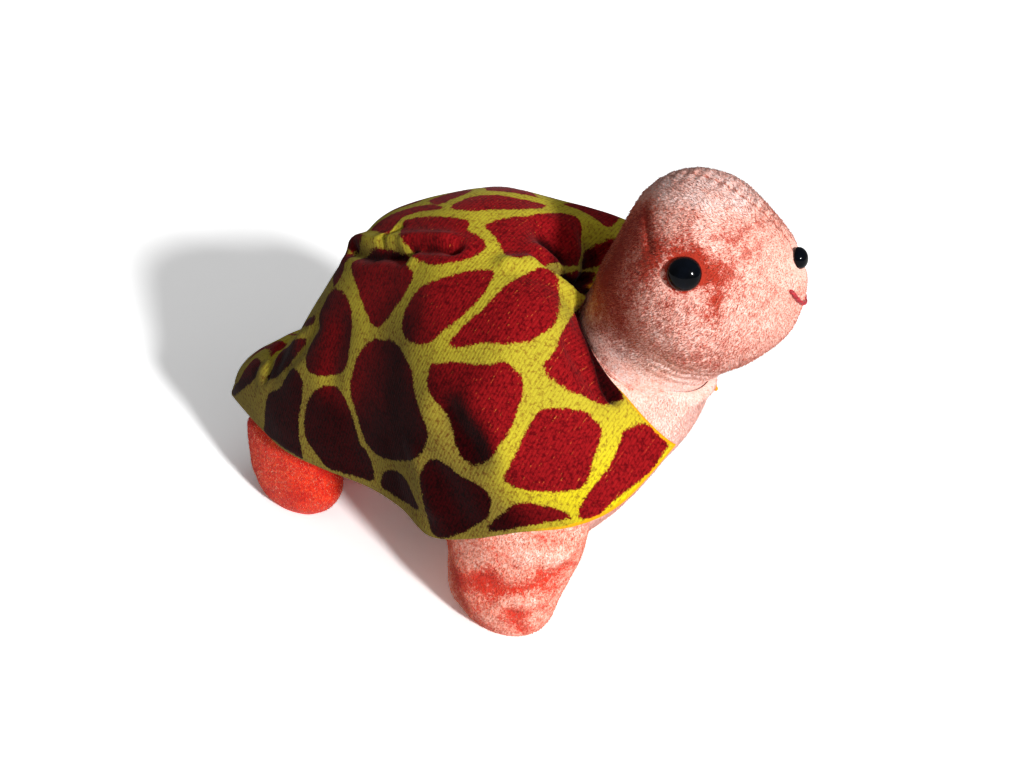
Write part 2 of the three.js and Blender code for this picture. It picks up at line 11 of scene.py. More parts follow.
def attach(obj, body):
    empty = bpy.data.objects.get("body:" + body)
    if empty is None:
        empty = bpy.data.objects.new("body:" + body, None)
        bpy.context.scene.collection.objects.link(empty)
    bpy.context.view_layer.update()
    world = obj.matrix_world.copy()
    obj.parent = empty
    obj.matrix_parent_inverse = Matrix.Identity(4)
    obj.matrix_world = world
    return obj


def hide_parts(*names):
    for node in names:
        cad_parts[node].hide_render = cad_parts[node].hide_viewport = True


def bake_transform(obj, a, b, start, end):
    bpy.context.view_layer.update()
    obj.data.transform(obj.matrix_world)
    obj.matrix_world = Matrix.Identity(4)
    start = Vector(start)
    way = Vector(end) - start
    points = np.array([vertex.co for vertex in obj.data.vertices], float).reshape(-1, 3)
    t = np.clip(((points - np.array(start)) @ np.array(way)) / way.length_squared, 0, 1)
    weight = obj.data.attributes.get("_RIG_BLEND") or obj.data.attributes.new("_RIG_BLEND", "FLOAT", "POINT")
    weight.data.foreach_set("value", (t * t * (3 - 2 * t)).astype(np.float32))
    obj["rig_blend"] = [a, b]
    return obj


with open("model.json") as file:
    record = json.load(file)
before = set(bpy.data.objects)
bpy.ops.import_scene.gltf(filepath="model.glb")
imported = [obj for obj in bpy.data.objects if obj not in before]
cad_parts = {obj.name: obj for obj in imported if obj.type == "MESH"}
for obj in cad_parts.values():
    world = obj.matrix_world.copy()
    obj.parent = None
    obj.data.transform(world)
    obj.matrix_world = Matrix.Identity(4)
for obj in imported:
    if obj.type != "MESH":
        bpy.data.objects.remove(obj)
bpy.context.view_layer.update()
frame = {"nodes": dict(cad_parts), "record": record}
joints = {joint["name"]: joint for joint in frame["record"]["behaviour"]["joints"]}
print("frame loaded,", len(frame["nodes"]), "nodes")

millimetre = 0.001
mergeDistance = 2e-6  # metres, within which a mesh's points become one


# Small helpers for numbers, meshes and materials

def asPoints(*values):
    return np.stack(np.broadcast_arrays(*values), -1).astype(float)


def unit(vectors):
    return vectors / np.maximum(np.linalg.norm(vectors, axis=-1, keepdims=True), 1e-9)


def smooth(values, low, high):
    share = np.clip((np.asarray(values, float) - low) / (high - low), 0, 1)
    return share * share * (3 - 2 * share)


def splineRow(rows, place):
    # Catmull-Rom through rows at evenly spaced places from 0 to 1
    rows = np.asarray(rows, float)
    last = len(rows) - 1
    at = np.clip(np.asarray(place, float), 0, 1) * last
    k = np.minimum(np.floor(at).astype(int), last - 1)
    f = at - k
    if rows.ndim > 1:
        f = f[..., None]
    before, here, after, beyond = (rows[np.clip(k + step, 0, last)] for step in (-1, 0, 1, 2))
    slopeIn, slopeOut = (after - before) / 2, (beyond - here) / 2
    return ((2 * here - 2 * after + slopeIn + slopeOut) * f ** 3
            + (-3 * here + 3 * after - 2 * slopeIn - slopeOut) * f ** 2 + slopeIn * f + here)


def ripple(points, size, seed):
    # slow unevenness between -1 and 1, about size mm from crest to crest
    flat = points.reshape(-1, 3) / size + seed * 7.3
    return np.array([noise.noise(Vector(p)) for p in flat]).reshape(points.shape[:-1])


def distanceToLine(points, line):
    # shortest distance from each point to a polyline
    best = np.full(points.shape[:-1], 1e9)
    for start, end in zip(line[:-1], line[1:]):
        along = end - start
        share = np.clip(((points - start) @ along) / max(along @ along, 1e-9), 0, 1)
        best = np.minimum(best, np.linalg.norm(points - start - share[..., None] * along, axis=-1))
    return best


def gridNormals(grid, wrap=False):
    if wrap:
        around = np.roll(grid, -1, 1) - np.roll(grid, 1, 1)
    else:
        around = np.gradient(grid, axis=1)
    return unit(np.cross(np.gradient(grid, axis=0), around))


def facingOut(normal, away):
    # normals, turned over where they point against the way out
    return -normal if np.mean((normal * away).sum(-1)) < 0 else normal


def gridFaces(rows, columns, wrap=False, start=0):
    i, j = np.meshgrid(np.arange(rows - 1), np.arange(columns if wrap else columns - 1), indexing="ij")
    k = (j + 1) % columns
    corners = [i * columns + j, i * columns + k, (i + 1) * columns + k, (i + 1) * columns + j]
    return np.stack(corners, -1).reshape(-1, 4) + start


def addObject(name, data):
    made = bpy.data.objects.new(name, data)
    bpy.context.scene.collection.objects.link(made)
    return made


def cornerPoints(mesh):
    # the point that each corner of a face stands on
    corner = np.zeros(len(mesh.loops), np.int32)
    mesh.loops.foreach_get("vertex_index", corner)
    return corner


def addPiece(name, points, faces, material, attributes=None, cloth=None):
    mesh = bpy.data.meshes.new(name)
    mesh.from_pydata((np.asarray(points).reshape(-1, 3) * millimetre).tolist(), [], faces.tolist())
    mesh.materials.append(material)
    for label, values in (attributes or {}).items():
        layer = mesh.attributes.new(label, "FLOAT", "POINT")
        layer.data.foreach_set("value", np.asarray(values, np.float32).ravel())
    if cloth is not None:
        layer = mesh.uv_layers.new(name="cloth")
        layer.data.foreach_set("uv", np.asarray(cloth, np.float32)[cornerPoints(mesh)].ravel())
    mesh.update()
    tidy = bmesh.new()
    tidy.from_mesh(mesh)
    bmesh.ops.remove_doubles(tidy, verts=tidy.verts, dist=mergeDistance)
    bmesh.ops.recalc_face_normals(tidy, faces=tidy.faces)
    if tidy.calc_volume(signed=True) < 0:
        bmesh.ops.reverse_faces(tidy, faces=tidy.faces)
    tidy.to_mesh(mesh)
    tidy.free()
    mesh.shade_smooth()
    return addObject(name, mesh)


def addRound(name, grid, material, attributes=None):
    # a piece from a grid whose rows close on themselves
    return addPiece(name, grid, gridFaces(*grid.shape[:2], True), material, attributes)


def evaluated(piece):
    # a plain mesh of a piece with its modifier's work in it
    bpy.context.view_layer.update()
    return bpy.data.meshes.new_from_object(piece.evaluated_get(bpy.context.evaluated_depsgraph_get()))


def nearestTree(points):
    tree = KDTree(len(points))
    for k, point in enumerate(points):
        tree.insert(point, k)
    tree.balance()
    return tree


def edgeLoop(rows, columns):
    # indices round the border of a grid, each once
    top = [(0, j) for j in range(columns)]
    right = [(i, columns - 1) for i in range(1, rows)]
    bottom = [(rows - 1, j) for j in range(columns - 2, -1, -1)]
    left = [(i, 0) for i in range(rows - 2, 0, -1)]
    return np.array(top + right + bottom + left)


def thickSheet(outer, inner, steps):
    # closes two grids of one size into a sheet with rounded edges
    # returns its points, its faces and which point of the grid each one comes from
    rows, columns = outer.shape[:2]
    loop = edgeLoop(rows, columns)
    i, j = loop[:, 0], loop[:, 1]
    inward = np.stack([np.clip(i, 1, rows - 2), np.clip(j, 1, columns - 2)], -1)
    outEdge, inEdge = outer[i, j], inner[i, j]
    away = unit(outEdge - outer[inward[:, 0], inward[:, 1]])
    radius = np.linalg.norm(outEdge - inEdge, axis=-1, keepdims=True) / 2
    rings = []
    for step in range(1, steps):
        angle = math.pi * step / steps
        rings.append((outEdge + inEdge) / 2 + (outEdge - inEdge) / 2 * math.cos(angle)
                     + away * radius * math.sin(angle))
    count = rows * columns
    points = np.concatenate([outer.reshape(-1, 3), inner.reshape(-1, 3), *rings])
    flat = i * columns + j
    source = np.concatenate([np.arange(count), np.arange(count), *[flat for _ in rings]])
    levels = [flat] + [2 * count + n * len(flat) + np.arange(len(flat)) for n in range(len(rings))]
    levels.append(flat + count)
    faces = [gridFaces(rows, columns), gridFaces(rows, columns, start=count)[:, ::-1]]
    for upper, lower in zip(levels[:-1], levels[1:]):
        faces.append(np.stack([upper, lower, np.roll(lower, -1), np.roll(upper, -1)], -1))
    return points, np.concatenate(faces), source


def linear(red, green, blue):
    # a colour as the eye reads it, 0 to 255, turned into the shader's own numbers
    def channel(value):
        share = value / 255
        return share / 12.92 if share <= 0.04045 else ((share + 0.055) / 1.055) ** 2.4
    return (channel(red), channel(green), channel(blue), 1)


def addNode(tree, kind, inputs=None, **settings):
    made = tree.nodes.new(kind)
    for label, value in settings.items():
        setattr(made, label, value)
    for label, value in (inputs or {}).items():
        if isinstance(value, bpy.types.NodeSocket):
            tree.links.new(value, made.inputs[label])
        else:
            made.inputs[label].default_value = value
    return made


class Finish:
    # one procedural material, built node by node
    def __init__(self, name, roughness, constants):
        self.material = bpy.data.materials.new(name)
        self.material.use_nodes = True
        self.tree = self.material.node_tree
        self.shader = self.tree.nodes["Principled BSDF"]
        self.shader.inputs["Roughness"].default_value = roughness
        for label, value in constants.items():
            self.shader.inputs[label].default_value = value

    def add(self, kind, inputs=None, **settings):
        return addNode(self.tree, kind, inputs, **settings)

    def place(self):
        return self.add("ShaderNodeTexCoord").outputs["Object"]

    def attribute(self, name):
        return self.add("ShaderNodeAttribute", attribute_name=name).outputs["Fac"]

    def maths(self, operation, a, b=0.0, c=0.0):
        return self.add("ShaderNodeMath", {0: a, 1: b, 2: c}, operation=operation).outputs[0]

    def plus(self, a, b):
        return self.maths("ADD", a, b)

    def minus(self, a, b):
        return self.maths("SUBTRACT", a, b)

    def times(self, a, b):
        return self.maths("MULTIPLY", a, b)

    def noise(self, vector, scale, detail, roughness=0.5, distortion=0.0):
        return self.add("ShaderNodeTexNoise", {
            "Vector": vector, "Scale": scale, "Detail": detail, "Roughness": roughness,
            "Distortion": distortion}).outputs["Fac"]

    def ramp(self, value, low, high, start=0.0, end=1.0):
        return self.add("ShaderNodeMapRange", {
            "Value": value, "From Min": low, "From Max": high, "To Min": start, "To Max": end},
            interpolation_type="SMOOTHSTEP").outputs[0]

    def mix(self, factor, a, b):
        return self.add("ShaderNodeMix", {0: factor, 6: a, 7: b}, data_type="RGBA").outputs[2]

    def colour(self, value):
        self.tree.links.new(value, self.shader.inputs["Base Color"])

    def rough(self, value):
        self.tree.links.new(value, self.shader.inputs["Roughness"])

    def bump(self, height, distance, strength):
        made = self.add("ShaderNodeBump", {
            "Height": height, "Distance": distance * millimetre, "Strength": strength})
        self.tree.links.new(made.outputs["Normal"], self.shader.inputs["Normal"])

    def mottle(self, deep, pale, distance, strength, *grain):
        # one noise makes both the colour and the bump
        grain = self.noise(self.place(), *grain)
        self.colour(self.mix(self.ramp(grain, 0.35, 0.65), deep, pale))
        self.bump(grain, distance, strength)
        return self.material


# Camera and light

photoView = {
    "azimuth": -63,  # degrees round from the puppet's front
    "elevation": 28,
    "distance": 445,  # mm from the target
    "target": (0, -13.5, 73.1),
    "lens": 42.363,
    "sensor": 36,
    "width": 1024,  # the photo's own pixels
    "height": 768,
}


def cameraAxes(values):
    azimuth, elevation = math.radians(values["azimuth"]), math.radians(values["elevation"])
    back = np.array([math.sin(azimuth) * math.cos(elevation), -math.cos(azimuth) * math.cos(elevation),
                     math.sin(elevation)])
    right = np.array([math.cos(azimuth), math.sin(azimuth), 0.0])
    return right, np.cross(back, right), back


def seenAt(points, values=photoView):
    # where points come in the photo, in its own pixels, and how far off they are in mm
    right, up, back = cameraAxes(values)
    eye = np.array(values["target"]) + back * values["distance"]
    away = points - eye
    depth = -(away @ back)
    scale = values["lens"] / values["sensor"] * values["width"]
    return (values["width"] / 2 + scale * (away @ right) / depth,
            values["height"] / 2 - scale * (away @ up) / depth, depth)


def addCamera(values):
    back = Vector(cameraAxes(values)[2])
    lensData = bpy.data.cameras.new("photoCamera")
    lensData.lens = values["lens"]
    lensData.sensor_width = values["sensor"]
    lensData.clip_start = 0.01
    lensData.clip_end = 20
    camera = addObject("photoCamera", lensData)
    camera.location = (Vector(values["target"]) + back * values["distance"]) * millimetre
    camera.rotation_mode = "QUATERNION"
    camera.rotation_quaternion = (-back).to_track_quat("-Z", "Y")
    bpy.context.scene.camera = camera


studio = {
    "keyFrom": (-0.48, -0.79, 0.34),  # towards the key light
    "keyStrength": 3.7,
    "keyAngle": 5,  # degrees, softness of its shadow
    "softAngle": 70,  # and of the two others
    "fillFrom": (0.1, -0.5, 1.0),
    "fillStrength": 0.48,
    "frontFrom": (-0.52, -0.8, 0.1),  # a wide soft light, low in front
    "frontStrength": 1.1,
    "skyStrength": 0.12,
    "floorColour": (0.9, 0.9, 0.9, 1),
    "floorBounce": (0.9, 0.9, 0.9, 1),  # what the floor sends back up to the puppet
    "floorSize": 3000,
}


def addSun(name, towards, strength, angle):
    lamp = bpy.data.lights.new(name, "SUN")
    lamp.energy = strength
    lamp.angle = math.radians(angle)
    sun = addObject(name, lamp)
    sun.rotation_mode = "QUATERNION"
    sun.rotation_quaternion = Vector(towards).to_track_quat("Z", "Y")
    return sun


def emptyTree(data):
    data.use_nodes = True
    data.node_tree.nodes.clear()
    return data.node_tree


def chooseByRay(tree, kind, unseen, seen):
    # one shader where the camera looks, and another for the light that is sent on
    ray = addNode(tree, "ShaderNodeLightPath").outputs["Is Camera Ray"]
    choose = addNode(tree, "ShaderNodeMixShader", {0: ray, 1: unseen, 2: seen})
    addNode(tree, kind, {0: choose.outputs[0]})


def addStudio(values):
    addSun("keyLight", values["keyFrom"], values["keyStrength"], values["keyAngle"])
    for light in ("fill", "front"):
        sun = addSun(light + "Light", values[light + "From"], values[light + "Strength"], values["softAngle"])
        sun.visible_glossy = False
    world = bpy.data.worlds.new("studioSky")
    bpy.context.scene.world = world
    tree = emptyTree(world)
    dim, white = (addNode(tree, "ShaderNodeBackground", {"Color": (1, 1, 1, 1), "Strength": strength})
                  for strength in (values["skyStrength"], 1))
    chooseByRay(tree, "ShaderNodeOutputWorld", dim.outputs[0], white.outputs[0])

    paper = bpy.data.materials.new("floorPaper")
    tree = emptyTree(paper)
    bounce, matt = (addNode(tree, "ShaderNodeBsdfDiffuse", {"Color": values[colour]}).outputs[0]
                    for colour in ("floorBounce", "floorColour"))
    # seen by the camera, the lit floor is twice as bright, so that it comes out white
    twice = addNode(tree, "ShaderNodeAddShader", {0: matt, 1: matt})
    chooseByRay(tree, "ShaderNodeOutputMaterial", bounce, twice.outputs[0])
    half = values["floorSize"] / 2
    corners = [(-half, -half, 0), (half, -half, 0), (half, half, 0), (-half, half, 0)]
    mesh = bpy.data.meshes.new("floor")
    mesh.from_pydata([tuple(c * millimetre for c in corner) for corner in corners], [], [(0, 1, 2, 3)])
    mesh.materials.append(paper)
    floor = addObject("floor", mesh)
    bpy.context.scene.view_settings.view_transform = "Standard"


addCamera(photoView)
addStudio(studio)
print("camera and studio made")


# The shell's form, shared by its cover, wadding, lining and the belly

shell = {
    "rearTipY": 118,  # mm, as all lengths here
    "length": 203,
    "halfWidth": 63,
    "hemHeight": 42,
    "crownRise": 102,
    "bellyDrop": 21,
    "coverThickness": 1.4,
    "clearance": 0.35,
    "waddingCrown": 6,  # how thick the wadding is over the crown
    "waddingEdge": 1,
    "liningThickness": 0.8,
    "plushThickness": 1.8,
    # hem along, hem half-width, hem rise, crest along, crest rise, bulge, roundness, shoulder,
    # keel along, keel drop, from the tail to the collar
    "stations": [
        [0, 0.06, -0.04, 0, -0.01, 0.05, 0.9, 0, 0.01, 0.19],
        [0.074, 0.24, -0.01, 0.044, 0.137, 0.1, 0.85, 0, 0.074, 0.19],
        [0.158, 0.41, 0, 0.123, 0.255, 0.12, 0.85, 0, 0.158, 0.33],
        [0.256, 0.57, 0, 0.207, 0.353, 0.12, 0.85, 0, 0.256, 0.52],
        [0.355, 0.635, 0, 0.281, 0.585, 0.12, 0.85, 0, 0.355, 0.71],
        [0.463, 0.68, 0, 0.379, 0.845, 0.12, 0.85, 0, 0.463, 0.86],
        [0.552, 0.78, 0, 0.488, 0.955, 0.12, 0.85, 0, 0.552, 0.95],
        [0.64, 0.95, 0.005, 0.591, 1, 0.12, 0.85, 0.02, 0.64, 1],
        [0.729, 1, 0.07, 0.68, 0.955, 0.12, 0.85, 0.055, 0.729, 1],
        [0.818, 0.985, 0.145, 0.744, 0.87, 0.12, 0.85, 0.12, 0.828, 0.76],
        [0.897, 0.87, 0.175, 0.778, 0.79, 0.15, 0.9, 0.17, 0.911, 0],
        [0.956, 0.71, 0.24, 0.793, 0.725, 0.3, 1, 0.14, 0.975, -1],
        [1, 0.35, 0.353, 0.803, 0.676, 0.7, 1.3, 0.03, 1.012, -2.19],
    ],
}
neck = {
    "root": np.array([0.0, -65.0, 102.0]),  # mm, where the neck turns in the collar
    "lean": 30,  # degrees from upright, towards the front
    "radius": 24.5,
    "length": 33.6,  # from the root to the head's centre
    "headRadius": 34,
    "mouthRadius": 18,  # where the fingers go in
}
collar = {
    "reach": 26.9,  # mm from the neck's root to the cover's edge
    "between": (0.6, 1.0),  # the places along the shell that the edge lies between
    "layerReach": 31.0,  # mm to the wadding's and the lining's edge, short of the collar
    "layerFirst": 0.05,  # and where those two start and end along the shell
    "layerLast": 0.965,
}


def shellFace(t, turn):
    # t runs from the tail to the collar, turn from the right hem (-1) over the crown to the left hem (1)
    t, turn = np.broadcast_arrays(np.asarray(t, float), np.asarray(turn, float))
    row = splineRow(shell["stations"], t)
    hemAlong, hemHalf, hemRise, crestAlong, crestRise, bulge, roundness, shoulder = (
        row[..., k] for k in range(8))
    angle = turn * math.pi / 2
    up = np.maximum(np.cos(angle), 0)
    lift = up ** roundness
    hemY = shell["rearTipY"] - shell["length"] * hemAlong
    crestY = shell["rearTipY"] - shell["length"] * crestAlong
    rise = hemRise + (crestRise - hemRise) * lift + shoulder * np.sin(2 * angle) ** 2
    return asPoints(shell["halfWidth"] * hemHalf * np.sin(angle) * (1 + bulge * up),
                    hemY + (crestY - hemY) * lift, shell["hemHeight"] + shell["crownRise"] * rise)


def faceNormal(face, t, turn):
    step = 0.004
    a = np.clip(t, step, 1 - step)
    b = np.clip(turn, -0.98, 0.98)
    return unit(np.cross(face(a + step, b) - face(a - step, b), face(a, b + step) - face(a, b - step)))


def shellInside(t, turn, depth):
    return shellFace(t, turn) - faceNormal(shellFace, t, turn) * np.asarray(depth)[..., None]


def waddingDepth(t, turn):
    lengthwise = np.sin(math.pi * np.clip(t, 0, 1)) ** 0.6
    crosswise = np.maximum(np.cos(turn * math.pi / 2), 0) ** 0.8
    return shell["waddingEdge"] + (shell["waddingCrown"] - shell["waddingEdge"]) * lengthwise * crosswise


def meetsNeck(turn, radius):
    # the t at which the shell comes to this distance from the neck's root, by halving
    turn = np.asarray(turn, float)
    low, high = (np.full(turn.shape, end) for end in collar["between"])
    for _ in range(26):
        middle = (low + high) / 2
        outside = np.linalg.norm(shellFace(middle, turn) - neck["root"], axis=-1) > radius
        low, high = np.where(outside, middle, low), np.where(outside, high, middle)
    return low


# Shell cover

shellPrint = {
    "netHalfWidth": 2.4,  # mm, half of a line on the far side
    "rounding": 2.2,  # how round the far patches' corners are
    "cap": 17,  # mm, the furthest that a far patch reaches from its spine
    "fuzz": 0.8,  # how uneven the print's edges are
    "fineFuzz": 2.6,
    "coarseFuzz": 2.0,
    "patch": linear(144, 18, 22),
    "patchDeep": linear(84, 2, 8),
    "patchPaintedShade": linear(46, 0, 2),  # painted shade, for faces turned away from the light
    # painted shade for the deeper red
    "patchDeepPaintedShade": linear(14, 0, 0),
    "net": linear(184, 170, 46),
    "netBright": linear(222, 204, 18),
    "netShade": linear(130, 92, 26),
    # the net in painted shade
    "netPaintedShade": linear(132, 116, 44),
    # and its darker specks in painted shade
    "netShadePaintedShade": linear(86, 40, 16),
    "fleck": linear(222, 128, 54),
    "fold": linear(236, 160, 20),
    "wale": 1.1,  # mm from one knit rib to the next
    "fleckLength": 2.0,
    "ribWay": (0.93, 0.36),  # the ribs run up the side and lean forwards
    # the patches of the side that the photo shows, in its pixels
    "outlines": {
        "crown": [(450, 208), (466, 198), (490, 195), (515, 198), (538, 203), (547, 206), (535, 211),
            (515, 212), (492, 210), (470, 211)],
        "rearTopStrip": [(370, 229), (385, 218), (405, 210), (428, 205), (441, 206), (440, 210), (420, 212),
            (404, 218), (395, 226), (388, 236), (380, 233)],
        "rearTop": [(402, 230), (406, 221), (420, 217), (438, 216), (458, 218), (470, 221), (468, 229),
            (480, 236), (486, 245), (479, 254), (465, 260), (445, 264), (428, 264), (416, 259), (411, 252),
            (405, 240)],
        "farRearTop": [(428, 202), (445, 195), (460, 190), (472, 190), (466, 194), (452, 199), (441, 204)],
        "shoulder": [(485, 225), (498, 220), (520, 219), (542, 215), (560, 214), (572, 219), (581, 228),
            (586, 240), (585, 255), (580, 264), (565, 264), (545, 264), (525, 264), (510, 261), (502, 250),
            (495, 238), (488, 231)],
        "nape": [(592, 246), (605, 241), (612, 242), (608, 262), (595, 266), (590, 258)],
        "valley": [(552, 274), (578, 270), (600, 270), (595, 285), (585, 295), (575, 290), (562, 283)],
        "farShoulder": [(562, 204), (582, 202), (605, 204), (625, 209), (620, 218), (611, 228), (602, 228),
            (590, 218), (578, 210)],
        "rearHigh": [(356, 255), (365, 250), (380, 247), (395, 249), (406, 255), (408, 265), (413, 275),
            (409, 285), (400, 300), (390, 315), (380, 326), (372, 326), (368, 315), (360, 298), (354, 280),
            (352, 268)],
        "middleHigh": [(435, 280), (452, 274), (472, 270), (490, 269), (495, 272), (490, 285), (478, 300),
            (460, 318), (442, 332), (430, 342), (418, 344), (406, 339), (401, 326), (404, 310), (412, 295),
            (422, 285)],
        "shoulderSide": [(515, 279), (528, 274), (541, 274), (552, 282), (559, 295), (559, 310), (554, 325),
            (542, 335), (528, 341), (508, 344), (482, 344), (460, 347), (450, 346), (451, 340), (465, 325),
            (482, 308), (500, 290)],
        "collar": [(576, 311), (581, 305), (589, 335), (601, 365), (619, 396), (616, 402), (605, 404),
            (588, 399), (570, 391), (552, 380), (544, 370), (544, 362), (554, 350), (562, 332), (569, 318)],
        "rearSide": [(328, 295), (334, 290), (342, 290), (349, 298), (352, 312), (352, 330), (350, 350),
            (345, 368), (335, 375), (320, 376), (308, 370), (306, 360), (310, 342), (318, 330), (320, 315)],
        "side": [(370, 340), (382, 340), (395, 342), (405, 355), (412, 372), (415, 390), (422, 410),
            (428, 428), (426, 445), (418, 458), (400, 460), (382, 458), (370, 450), (362, 435), (356, 415),
            (351, 395), (351, 375), (358, 355)],
        "middle": [(430, 366), (440, 362), (462, 362), (485, 365), (502, 362), (515, 368), (522, 378),
            (524, 390), (518, 408), (512, 425), (500, 445), (490, 458), (478, 466), (465, 462), (455, 450),
            (448, 430), (440, 410), (431, 392), (428, 378)],
        "frontSide": [(535, 415), (548, 408), (562, 408), (580, 411), (594, 419), (600, 430), (598, 445),
            (592, 462), (588, 480), (580, 489), (562, 492), (545, 492), (525, 490), (508, 484), (505, 475),
            (512, 458), (522, 440)],
        "corner": [(628, 428), (640, 424), (650, 426), (668, 440), (662, 455), (652, 470), (635, 485),
            (615, 500), (605, 511), (595, 518), (580, 518), (582, 505), (595, 485), (608, 468), (618, 448),
            (622, 432)],
        "hemFront": [(512, 505), (528, 502), (542, 505), (558, 509), (570, 515), (570, 519), (545, 522),
            (515, 528), (490, 531), (492, 521), (502, 514)],
        "hemMiddle": [(428, 461), (438, 460), (450, 468), (460, 475), (475, 482), (486, 490), (492, 502),
            (490, 515), (478, 525), (462, 533), (440, 538), (430, 528), (428, 512), (425, 495), (422, 478)],
        "hemSmall": [(384, 472), (395, 470), (405, 478), (412, 492), (420, 508), (418, 510), (405, 502),
            (392, 493), (382, 487), (381, 478)],
        "hemRear": [(311, 395), (325, 386), (338, 388), (345, 398), (350, 410), (355, 428), (360, 442),
            (368, 455), (372, 468), (374, 480), (360, 478), (342, 473), (328, 468), (315, 452), (306, 435),
            (305, 415)],
        "tailSide": [(291, 369), (298, 371), (302, 382), (302, 392), (301, 405), (299, 420), (300, 440),
            (304, 458), (292, 453), (278, 443), (265, 433), (264, 420), (266, 400), (270, 392), (280, 388),
            (286, 378)],
        "tailHigh": [(284, 350), (298, 340), (305, 339), (298, 350), (290, 361), (285, 369), (280, 375),
            (268, 380), (266, 376), (273, 366), (278, 358)],
        "tailRidge": [(276, 339), (288, 330), (302, 321), (316, 315), (315, 320), (306, 327), (291, 335)],
        "tailTip": [(232, 392), (238, 382), (245, 370), (255, 359), (260, 360), (260, 368), (255, 378),
            (245, 388), (236, 396)],
        "rearEdge": [(334, 286), (336, 270), (344, 256), (350, 252), (348, 261), (344, 271), (340, 281)],
        "notch": [(348, 248), (356, 240), (364, 236), (366, 242), (356, 247), (350, 250)],
    },
    "margin": 14,  # mm round an outline, within which points are measured against it
    "offPlane": 3.5,  # mm off its plane that still count as on it
    "furthestOff": 12,
    "rimSlope": 30,  # how fast the outlines end at the shell's edge in the photo
    "rimStart": 0.12,
    # spines of the patches elsewhere in (t, turn), and the mm that each is grown by
    "spines": [
        (0, (0.40, 0.03), (0.43, 0.06)),
        (0, (0.16, -0.1), (0.17, 0.15)),
        (1, (0.275, 0.05), (0.335, 0.07)),
        (0, (0.42, 0.25), (0.45, 0.38)),
        (0, (0.62, 0.36), (0.66, 0.50)),
        (0, (0.78, 0.50), (0.84, 0.60)),
        (0, (0.90, 0.28), (0.95, 0.42)),
        (0, (0.28, 0.22), (0.30, 0.42)),
        (0, (0.35, 0.58), (0.37, 0.72)),
        (1, (0.50, 0.58), (0.52, 0.74)),
        (0, (0.66, 0.68), (0.72, 0.78)),
        (0, (0.85, 0.76), (0.88, 0.84)),
        (0, (0.96, 0.66), (0.985, 0.84)),
        (0, (0.20, 0.55), (0.18, 0.78)),
        (0, (0.33, 0.88), (0.35, 0.97)),
        (0, (0.47, 0.90), (0.50, 0.97)),
        (0, (0.60, 0.90), (0.63, 0.97)),
        (0, (0.76, 0.93), (0.80, 0.97)),
        (0, (0.91, 0.95), (0.93, 0.98)),
        (0, (0.07, 0.2), (0.08, 0.6)),
        (0, (0.55, 0.14), (0.57, 0.20)),
    ],
}
# folds pressed into the cover (less than 0 stands out): depth and half-width in mm, then the photo's pixels
shellFolds = [
    (3.4, 2.6, (352, 249), (368, 254), (388, 253), (406, 257)),
    (3.0, 2.2, (411, 248), (430, 246), (456, 248)),
    (-1.5, 3.0, (350, 240), (372, 243), (410, 239), (445, 239)),
    (1.6, 1.3, (384, 245), (391, 236), (400, 228)),
    (5.0, 3.6, (545, 267), (562, 277), (577, 285), (592, 286)),
    (3.6, 6.0, (548, 238), (560, 252), (572, 262), (590, 262)),
    (-1.8, 3.0, (507, 262), (532, 267), (557, 282), (577, 299)),
    (2.4, 1.7, (576, 314), (582, 334), (592, 357), (605, 381), (613, 398)),
    (1.6, 4.5, (570, 345), (585, 370), (602, 393)),
    (2.4, 5.5, (448, 418), (457, 434), (470, 448)),
    (-1.0, 6.0, (478, 400), (492, 425), (496, 450)),
    (1.0, 3.0, (316, 328), (303, 346), (288, 366)),
    (0.9, 2.4, (283, 344), (274, 360), (266, 378)),
    (-0.7, 3.0, (300, 336), (286, 352), (262, 370)),
    (1.0, 7.0, (446, 478), (456, 505), (466, 525)),
    (-1.0, 5.0, (415, 452), (424, 480), (430, 505)),
    (1.0, 5.0, (342, 330), (337, 352), (330, 380)),
]
# where the cover is painted darker, as painted shade: how much, and the half-width in mm, then the photo's
# pixels
shellPaintedShade = [
    (0.75, 12, (448, 478), (462, 505), (455, 525)),
    (0.45, 16, (255, 425), (320, 455), (390, 490)),
    (0.35, 12, (262, 375), (330, 430), (400, 470)),
    (0.5, 7, (450, 425), (462, 442), (474, 455)),
    (0.5, 6, (548, 246), (565, 258), (585, 268)),
    (0.5, 5, (590, 350), (604, 378), (613, 396)),
    (0.4, 8, (440, 525), (500, 522), (560, 516)),
    (1.0, 3.2, (556, 269), (570, 279), (586, 293)),
    (1.1, 2.4, (576, 310), (585, 334), (597, 358), (610, 387)),
    (0.9, 3.6, (582, 336), (592, 358), (604, 380), (611, 394)),
]
# and folds on the side that it doesn't show, in (t, turn)
farFolds = [
    (2.4, 3.0, (0.38, 0.20), (0.46, 0.26), (0.55, 0.26)),
    (4.0, 4.6, (0.78, 0.14), (0.84, 0.15), (0.89, 0.06)),
    (2.2, 2.2, (0.965, 0.40), (0.962, 0.55), (0.95, 0.68)),
    (1.8, 6.0, (0.66, 0.74), (0.68, 0.86)),
    (1.6, 5.0, (0.24, 0.30), (0.22, 0.55), (0.21, 0.80)),
    (1.4, 5.0, (0.62, 0.88), (0.60, 0.99)),
]


def spine(points, steps=5):
    # points given in (t, turn), laid on the shell
    marks = np.array(points, float)
    fine = [marks[0]]
    for start, end in zip(marks[:-1], marks[1:]):
        fine += [start + (end - start) * k / steps for k in range(1, steps + 1)]
    fine = np.array(fine)
    return shellFace(fine[:, 0], fine[:, 1])


